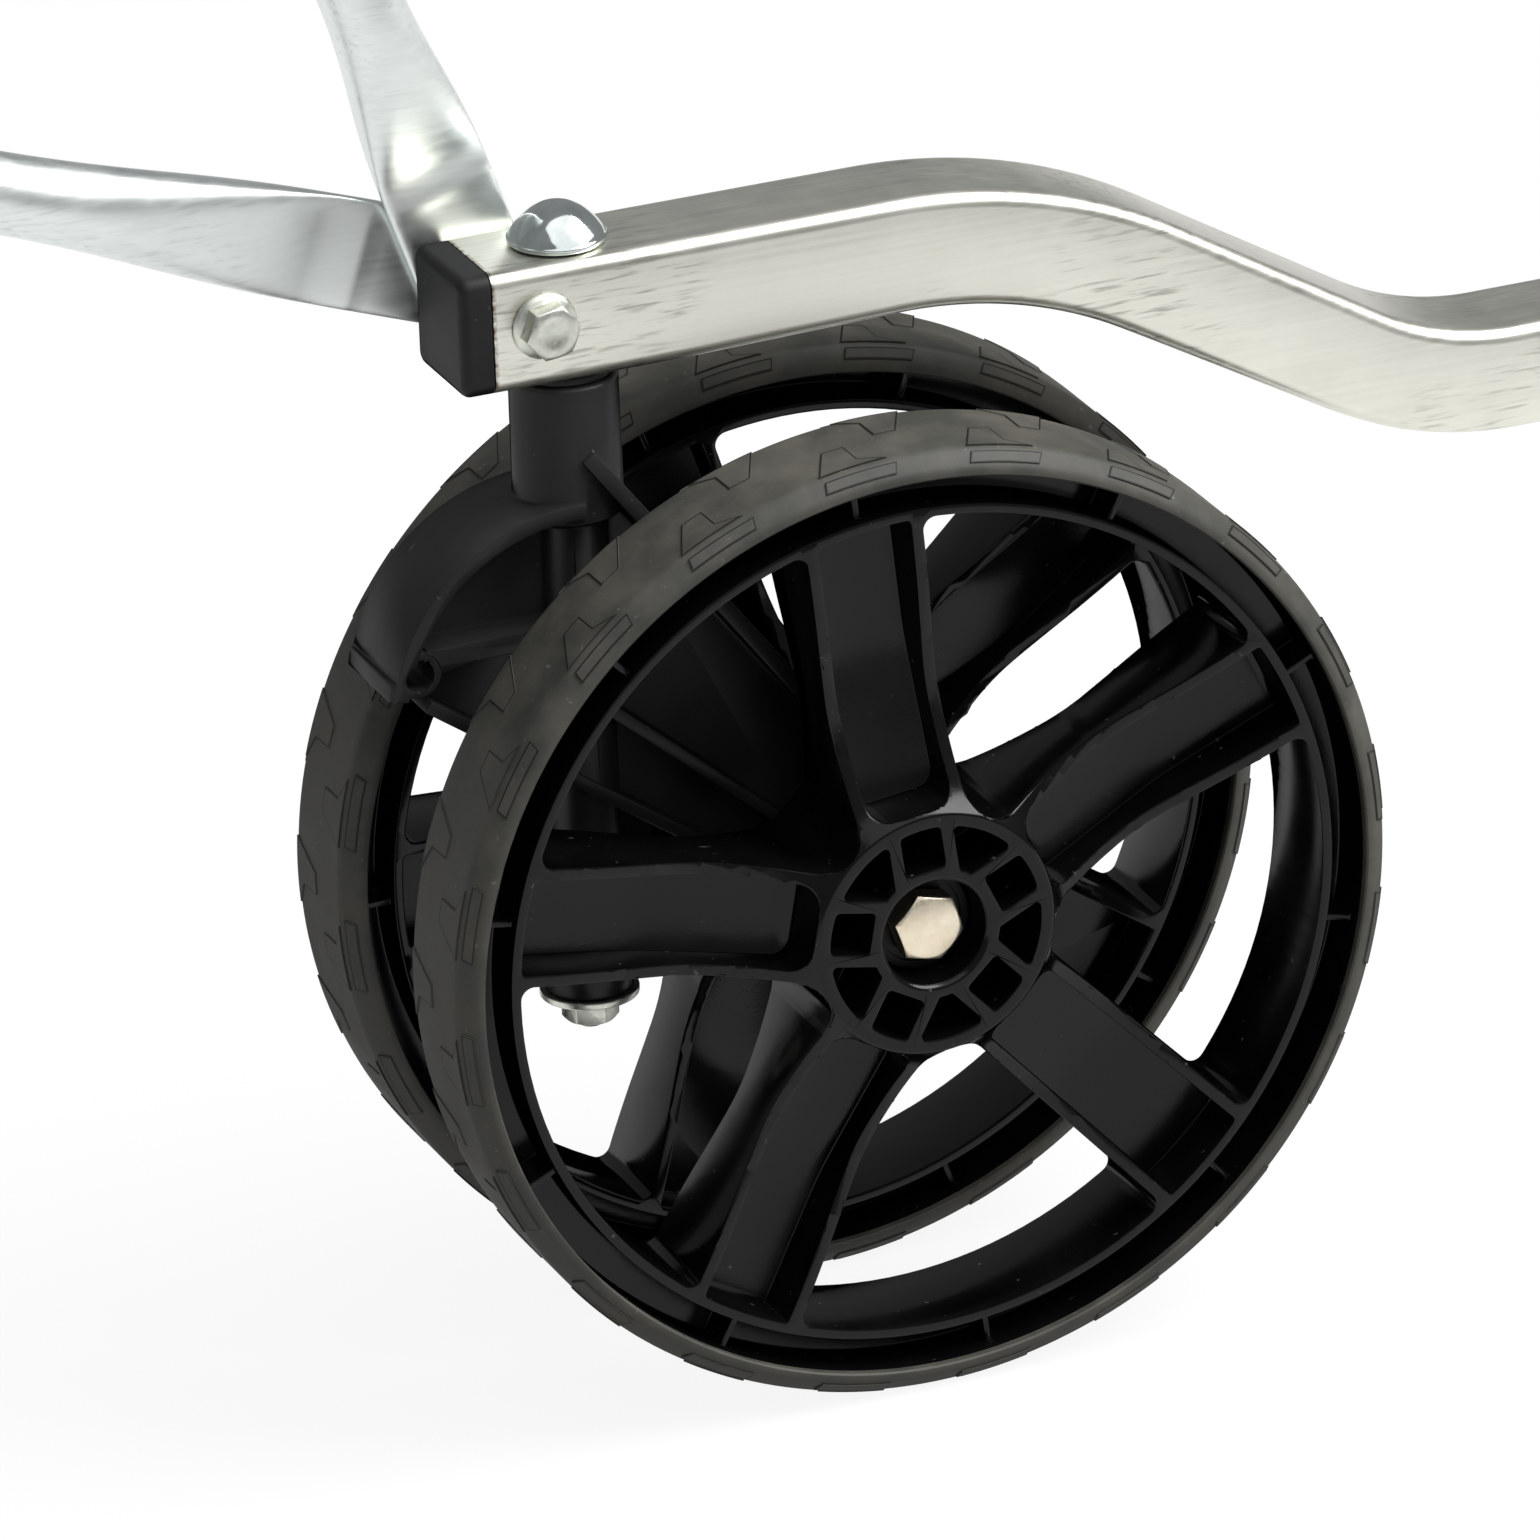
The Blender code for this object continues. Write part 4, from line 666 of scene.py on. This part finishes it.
def makeStrut(name, node, look):
    angle = math.radians(look["rise"])
    along = Vector((-math.cos(angle), 0, math.sin(angle)))
    across = Vector((math.sin(angle), 0, math.cos(angle)))
    start = Vector((strutLook["boltX"] - look["shift"], look["tabY"], strutLook["boltZ"]))
    bm = bmesh.new()
    turnLayer = bm.verts.layers.float.new("turn")
    ring = bmesh.ops.create_circle(bm, segments=strutLook["ring"], radius=1.0)["verts"]
    for vert in ring:
        vert[turnLayer] = math.atan2(vert.co.y, vert.co.x)
    edges = bm.edges[:]
    for index, (distance, half, depth, power) in enumerate(strutStations(look)):
        if index:
            edges = onlyEdges(bmesh.ops.extrude_edge_only(bm, edges=edges)["geom"])
            ring = vertsOf(edges)
        for vert in ring:
            c, s = math.cos(vert[turnLayer]), math.sin(vert[turnLayer])
            u = math.copysign(abs(c) ** (2 / power), c) * half
            v = math.copysign(abs(s) ** (2 / power), s) * depth
            vert.co = start + along * distance + across * u + Vector((0, v, 0))
        if index == 0:
            bmesh.ops.contextual_create(bm, geom=edges)
    tubeEnd = bmesh.ops.contextual_create(bm, geom=edges)["faces"][0]
    bmesh.ops.recalc_face_normals(bm, faces=bm.faces[:])
    stepFace(bm, tubeEnd, strutLook["wall"], strutLook["bore"], -along)
    bmesh.ops.recalc_face_normals(bm, faces=bm.faces[:])
    finishPiece(toObject(name, bm), "frame", node, strutMaterial, 34)


makeStrut("upperStrut", "upper_strut", upperStrut)
makeStrut("lowerStrut", "lower_strut", lowerStrut)
print("stage: struts made")


# fasteners: heads and nuts are sized from their flats
hexLook = {"corner": 0.62, "top": 0.46, "chamfer": 0.55, "below": 3.0, "past": 1.0, "edge": 0.12, "tip": 0.6}


def hexBody(name, flats, low, high, place, turn):  # low is the seat, high the chamfered end
    bm = bmesh.new()
    bmesh.ops.create_circle(bm, cap_ends=True, segments=6, radius=flats / math.sqrt(3))
    bmesh.ops.rotate(bm, matrix=Matrix.Rotation(math.radians(turn), 3, "Z"), verts=bm.verts[:])
    bmesh.ops.translate(bm, vec=(0, 0, low), verts=bm.verts[:])
    grown = bmesh.ops.extrude_face_region(bm, geom=bm.faces[:])
    bmesh.ops.translate(bm, vec=(0, 0, high - low), verts=newVerts(grown))
    item = toObject(name, placed(bm, place))
    way = 1 if high > low else -1
    corner, top, start = hexLook["corner"] * flats, hexLook["top"] * flats, low - hexLook["below"] * way
    cone = [(0, start), (corner, start), (corner, high - way * (corner - top) * hexLook["chamfer"]), (top, high),
            (0, high)]
    combine(item, turned(cone, place, 96, closed=False), "INTERSECT")
    return item


def makeNut(name, node, body, flats, low, high, hole, place, turn=30):
    nut = hexBody(name, flats, low, high, place, turn)
    combine(nut, rod(hole, min(low, high) - hexLook["past"], max(low, high) + hexLook["past"], place))
    softenEdges(nut, hexLook["edge"])
    finishPiece(nut, body, node, fastenerMaterial)


def makeRing(name, node, body, hole, outer, low, high, place, slot="zinc_hardware", material=fastenerMaterial,
             steps=64, edge=0.2, segments=2, smoothAngle=30):
    ring = toObject(name, turned([(hole, low), (outer, low), (outer, high), (hole, high)], place, steps))
    softenEdges(ring, edge, segments)
    finishPiece(ring, body, node, material, smoothAngle)


# flangeLine and dishLine are radius and height from the flange's seat and from the head's top
strutBolt = {"thread": 3.0, "tip": 2.5, "flats": 10.0, "turn": 20, "flangeTop": 1.4, "head": 4.0, "face": -12.8,
             "headSink": 0.6, "threadPast": 1.5, "hole": 3.3, "washer": 18.2, "washerOuter": 6.0,
             "washerThick": 1.6, "nut": 20.1, "nutHigh": 5.0,
             "flangeLine": [(0, 1.6), (4.6, 1.6), (5.9, 1.1), (6.6, 0.55), (6.75, 0.2), (6.75, 0.0)],
             "dishLine": [(0, 0.2), (2.2, 0.18), (2.9, -0.1), (0, -0.1)]}
boltPlace = acrossAt(strutLook["boltX"], strutLook["boltZ"])


def makeStrutBolt():
    look, face, thread = strutBolt, strutBolt["face"], strutBolt["thread"]
    top = face - look["flangeTop"] - look["head"]
    nutEnd = look["nut"] + look["nutHigh"]
    end = nutEnd + look["threadPast"]
    bolt = hexBody("strutBolt", look["flats"], face - look["headSink"], top, boltPlace, look["turn"])
    shank = [(r, face - h) for r, h in look["flangeLine"]]
    shank += [(thread, face), (thread, end - hexLook["tip"]), (look["tip"], end), (0, end)]
    combine(bolt, turned(shank, boltPlace, 72, closed=False), "UNION")
    dish = [(r, top + h) for r, h in look["dishLine"]]
    combine(bolt, turned(dish, boltPlace, 48, closed=False))
    softenEdges(bolt, hexLook["edge"])
    finishPiece(bolt, "frame", "strut_bolt", fastenerMaterial)
    makeRing("strutWasher", "strut_washer", "frame", look["hole"], look["washerOuter"], look["washer"],
             look["washer"] + look["washerThick"], boltPlace)
    makeNut("strutNut", "strut_nut", "frame", look["flats"], look["nut"], nutEnd, look["hole"], boltPlace)


# dome and domeFoot are radius and height over the arm
swivel = {"armTop": 240.2, "stemTop": 212.8, "tubeEnd": 82.0, "pin": 4.0, "pinHole": 4.3, "thread": 3.0,
          "threadHole": 3.3, "threadAbove": 3.0, "threadStep": 3.5, "threadPast": 1.2, "tip": 2.4,
          "washer": 10.0, "washerThick": 1.5, "nutFlats": 10.0, "nutHigh": 5.2, "nutTurn": 10, "domeHigh": 7.4,
          "dome": [(2.3, 7.4), (3.6, 7.15), (5.5, 6.1), (7.4, 4.4), (8.9, 2.6), (9.7, 1.3)],
          "domeFoot": [(9.95, 1.15), (10.0, 0.9), (9.8, 0.25), (9.5, 0.0)]}
washerLook = {"steps": 72, "edge": 0.3, "segments": 3, "smoothAngle": 50}


def makeSwivel():
    base, look, thread, thick = swivel["armTop"], swivel, swivel["thread"], swivel["washerThick"]
    washerTop = look["tubeEnd"] - gap
    nutLow = washerTop - thick - gap - look["nutHigh"]
    end = nutLow - look["threadPast"]
    profile = [(0, base + look["domeHigh"])]
    profile += [(r, base + h) for r, h in smoothLine(look["dome"], 5) + look["domeFoot"]]
    profile += [(look["pin"], base), (look["pin"], look["tubeEnd"] + look["threadStep"])]
    profile += [(thread, look["tubeEnd"] + look["threadAbove"]), (thread, end + hexLook["tip"])]
    profile += [(look["tip"], end), (0, end)]
    finishPiece(toObject("swivelPin", turned(profile, closed=False)), "frame", "swivel_pin",
                domeMaterial, 40)
    topLow, bottomLow = look["stemTop"] + gap, washerTop - thick
    makeRing("swivelTopWasher", "swivel_top_washer", "frame", look["pinHole"], look["washer"], topLow,
             topLow + thick, Matrix(), "black_plastic", capMaterial, **washerLook)
    makeRing("swivelBottomWasher", "swivel_bottom_washer", "frame", look["threadHole"], look["washer"], bottomLow,
             bottomLow + thick, Matrix(), **washerLook)
    makeNut("swivelNut", "swivel_nut", "frame", look["nutFlats"], nutLow + look["nutHigh"], nutLow,
            look["threadHole"], Matrix(), look["nutTurn"])


axle = {"thread": 4.0, "tip": 3.4, "hole": 4.3, "flats": 13.0, "turn": 43, "head": 5.3, "headSink": 1.0,
        "edge": 0.15, "seat": 39.7, "nutHigh": 6.5, "threadPast": 1.2, "boss": 13.4, "spacer": 6.0,
        "spacerEnd": 22.5}
axlePlace = acrossAt(wheel["trail"], wheel["axleHeight"])


def makeAxle():
    seat, thread, start = axle["seat"], axle["thread"], -axle["seat"] - axle["headSink"]
    end = seat + axle["nutHigh"] + axle["threadPast"]
    bolt = hexBody("axleBolt", axle["flats"], -seat, -seat - axle["head"], axlePlace, axle["turn"])
    shank = [(0, start), (thread, start), (thread, end - hexLook["tip"]), (axle["tip"], end), (0, end)]
    combine(bolt, turned(shank, axlePlace, 64, closed=False), "UNION")
    softenEdges(bolt, axle["edge"])
    finishPiece(bolt, "yoke", "axle_bolt", axleMaterial)
    makeNut("axleNut", "axle_nut", "yoke", axle["flats"], seat, seat + axle["nutHigh"], axle["hole"], axlePlace)
    for word, side in (("Near", -1), ("Far", 1)):
        makeRing("axleSpacer" + word, "axle_spacer_" + word.lower(), "yoke", axle["hole"], axle["spacer"],
                 side * (axle["boss"] + gap), side * axle["spacerEnd"], axlePlace)


makeStrutBolt()
makeSwivel()
makeAxle()
print("stage: fasteners made")


# yoke: one moulding with stem, swivel tube, web, flanges and ribs
yoke = {"half": 12.0, "web": 4.4, "flange": 3.2, "rib": 2.6, "ribShare": 0.7, "levelRib": 4.2, "levelShare": 0.8,
        "levelHigh": 61.6, "stem": 10.85, "stemEdge": 0.6, "stemDraft": 0.15, "stemFoot": 4.8, "tube": 7.5,
        "tubeTop": 6.4, "collar": 9.0, "collarHigh": 6.0, "collarTop": 8.0,
        "shoulderX": -3.5, "shoulderZ": 149.3, "shoulder": 39.7, "shoulderStart": 86.0, "shoulderEnd": 172.0,
        "lipStart": 166.5, "lipOut": 0.9, "lipIn": 1.6, "lipShort": 0.8, "rearRise": 0.24, "linkRise": 0.24,
        "linkHole": 3.3, "linkBoss": 4.8, "linkHalf": 10.0, "boss": 16.5, "past": 5.0, "across": 30.0,
        "edge": 0.4, "edgeAngle": 35,
        "webTop": (2.0, -6.0), "webFront": (-1.0, -2.9),  # from the rear flange's top, from the link hole
        "lowerFrom": (2.4, -7.7), "lowerTo": (-3.3, -9.9),  # from the link hole, from the axle
        "levelFrom": 2.0, "levelTo": -2.2, "innerFrom": (2.2, 144.4), "innerTo": (-11.5, 9.1)}


def makeYoke():
    look, shoulder, flange, half = yoke, yoke["shoulder"], yoke["flange"], yoke["half"]
    stemTop, tubeEnd = swivel["stemTop"], swivel["tubeEnd"]
    axis = Vector((wheel["trail"], wheel["axleHeight"]))
    centre = (look["shoulderX"], look["shoulderZ"])
    top = look["shoulderZ"] + shoulder
    link = Vector((look["shoulderX"] - shoulder + flange / 2 + look["linkBoss"],
                   look["shoulderZ"] + look["linkRise"] * shoulder))
    rearStart = Vector((0.0, top + look["rearRise"] * shoulder))
    ribZ = axis.y + look["levelHigh"]
    toward = axis - rearStart  # the rear flange runs at a tangent to the axle boss
    reach = look["boss"] - 0.5 * flange
    tangent = (Matrix.Rotation(math.asin(reach / toward.length), 2) @ toward).normalized()
    rearEnd = rearStart + tangent * math.sqrt(toward.length ** 2 - reach ** 2)
    stem = [(0, stemTop), (look["stem"] - look["stemEdge"], stemTop), (look["stem"], stemTop - look["stemEdge"]),
            (look["stem"] + look["stemDraft"], top - look["stemFoot"]), (look["tube"], top - look["tubeTop"]),
            (look["tube"], tubeEnd + look["collarTop"]), (look["collar"], tubeEnd + look["collarHigh"]),
            (look["collar"], tubeEnd), (0, tubeEnd)]
    item = toObject("yokeMoulding", turned(stem, Matrix(), 72, closed=False))
    first, lipFirst, last = [math.radians(look[word]) for word in ("shoulderStart", "lipStart", "shoulderEnd")]
    outside, midway, inside = [arcLine(shoulder - inset, first, last, 30, centre)
                               for inset in (0, flange / 2, flange)]
    lip = arcLine(shoulder + look["lipOut"], lipFirst, last, 4, centre)
    lip += arcLine(shoulder - look["lipIn"], last, lipFirst, 4, centre)
    lowerStart, lowerEnd = link + Vector(look["lowerFrom"]), axis + Vector(look["lowerTo"])
    web = [rearStart + Vector(look["webTop"])] + midway
    web += [link + Vector(look["webFront"]), lowerStart, lowerEnd, axis, rearEnd]
    levelStart, levelEnd = (link.x + look["levelFrom"], ribZ), (look["levelTo"], ribZ)
    innerEnd = axis + Vector(look["innerTo"])
    pieces = [(web, look["web"] / 2), (outside + inside[::-1], half), (lip, half - look["lipShort"]),
              (slabOutline(rearStart, rearEnd, flange), half),
              (slabOutline(levelStart, levelEnd, look["levelRib"]), look["levelShare"] * half),
              (slabOutline(lowerStart, lowerEnd, look["rib"]), look["ribShare"] * half),
              (slabOutline(look["innerFrom"], innerEnd, look["rib"]), look["ribShare"] * half)]
    for outline, depth in pieces:
        combine(item, prism(outline, -depth, depth, sidePlan), "UNION")
    linkPlace = acrossAt(link.x, link.y)
    combine(item, rod(look["boss"], -axle["boss"], axle["boss"], axlePlace, 72), "UNION")
    combine(item, rod(look["linkBoss"], -look["linkHalf"], look["linkHalf"], linkPlace), "UNION")
    combine(item, rod(swivel["pinHole"], tubeEnd - look["past"], stemTop + look["past"], Matrix()))
    combine(item, rod(axle["hole"], -look["across"], look["across"], axlePlace))
    combine(item, rod(look["linkHole"], -look["across"], look["across"], linkPlace))
    softenEdges(item, look["edge"], angle=look["edgeAngle"])
    finishPiece(item, "yoke", "yoke", yokeMaterial)


makeYoke()
print("stage: yoke made")


# pale floor, soft lamps and the camera
stageLook = {"floor": "#ffffff", "bounce": "#6c6c6c", "fill": 0.9, "floorHalf": 30000, "world": "#d8dadc",
             "worldLevel": 0.38, "card": "#8c8c8e", "cardHalf": (3000, 155), "cardAt": (0, -900, 155),
             "aim": (40, 0, 100)}
lamps = {"keyLamp": {"spot": (1540, -750, 1950), "size": 1600, "power": 73.0},
         "topPanel": {"spot": (300, -1100, 2300), "size": 2700, "power": 25.0}}


def makeFloor():  # white to the eye and in reflections, grey to the light that bounces off it
    bm = bmesh.new()
    bmesh.ops.create_grid(bm, x_segments=8, y_segments=8, size=stageLook["floorHalf"])
    floor = toObject("floor", bm)
    floor.data.transform(toRow)
    material, tree, shader, place = startMaterial("paleFloor")
    ray = addNode(tree, "LightPath", {})
    seen = ray.outputs["Is Camera Ray"]
    for word in ("Is Glossy Ray", "Is Transmission Ray"):
        seen = addNode(tree, "Math", {0: seen, 1: ray.outputs[word]}, operation="MAXIMUM").outputs[0]
    tone = addNode(tree, "Mix", {0: seen, 6: colour(stageLook["bounce"]), 7: colour(stageLook["floor"])},
                   data_type="RGBA")
    setInputs(tree, shader, {"Base Color": tone.outputs[2], "Roughness": 0.9, "Specular IOR Level": 0.0})
    white = addNode(tree, "Emission", {"Color": colour(stageLook["floor"]), "Strength": 1.0})
    share = addNode(tree, "Math", {0: seen, 1: stageLook["fill"]}, operation="MULTIPLY")
    mixed = addNode(tree, "MixShader", {0: share.outputs[0], 1: shader.outputs[0], 2: white.outputs[0]})
    setInputs(tree, tree.nodes["Material Output"], {"Surface": mixed.outputs[0]})
    floor.data.materials.append(material)
    return floor


def makeCard():  # gives the black plastic its darker reflections, lights nothing
    bm = bmesh.new()
    upright = Matrix.Rotation(math.pi / 2, 4, "X") @ Matrix.Diagonal((*stageLook["cardHalf"], 1, 1))
    upright = Matrix.Translation(stageLook["cardAt"]) @ upright
    bmesh.ops.create_grid(bm, x_segments=1, y_segments=1, size=1, matrix=upright)
    card = toObject("greyCard", bm)
    card.data.transform(toRow)
    card.visible_camera = card.visible_diffuse = card.visible_shadow = False
    material, tree, shader, place = startMaterial("greyCard")
    dull = addNode(tree, "Emission", {"Color": colour(stageLook["card"]), "Strength": 1.0})
    setInputs(tree, tree.nodes["Material Output"], {"Surface": dull.outputs[0]})
    card.data.materials.append(material)
    return card


def makeLights():
    world = bpy.data.worlds.new("studio")
    world.use_nodes = True
    back = world.node_tree.nodes["Background"]
    back.inputs["Color"].default_value = colour(stageLook["world"])
    back.inputs["Strength"].default_value = stageLook["worldLevel"]
    bpy.context.scene.world = world
    for name, look in lamps.items():
        lamp = bpy.data.lights.new(name, "AREA")
        lamp.size = look["size"] / 1000
        lamp.energy = look["power"]
        holder = bpy.data.objects.new(name, lamp)
        bpy.context.scene.collection.objects.link(holder)
        holder.location = toRow @ Vector(look["spot"])
        aim = toRow @ Vector(stageLook["aim"]) - holder.location
        holder.rotation_euler = aim.to_track_quat("-Z", "Y").to_euler()


camLook = {"azimuth": -22.176, "elevation": 23.025, "roll": -2.173, "distance": 2900.0, "pixelsPerMm": 5.0379,
           "target": (39.97, -1.2, 120.44), "frame": 1540.0, "sensor": 36.0, "clipEnd": 100.0}


def makeCamera():
    camera = bpy.data.objects.new("camera", bpy.data.cameras.new("camera"))
    bpy.context.scene.collection.objects.link(camera)
    a, e = math.radians(camLook["azimuth"]), math.radians(camLook["elevation"])
    back = Vector((math.sin(a) * math.cos(e), -math.cos(a) * math.cos(e), math.sin(e)))
    roll = Matrix.Rotation(math.radians(camLook["roll"]), 4, "Z")
    spot = toRow @ (Vector(camLook["target"]) + back * camLook["distance"])
    camera.matrix_world = Matrix.Translation(spot) @ back.to_track_quat("Z", "Y").to_matrix().to_4x4() @ roll
    camera.data.sensor_width = camLook["sensor"]
    camera.data.lens = camLook["sensor"] * camLook["pixelsPerMm"] * camLook["distance"] / camLook["frame"]
    camera.data.clip_end = camLook["clipEnd"]
    bpy.context.scene.camera = camera


floor, card = makeFloor(), makeCard()
makeLights()
makeCamera()
bpy.context.scene.view_settings.view_transform = "Standard"
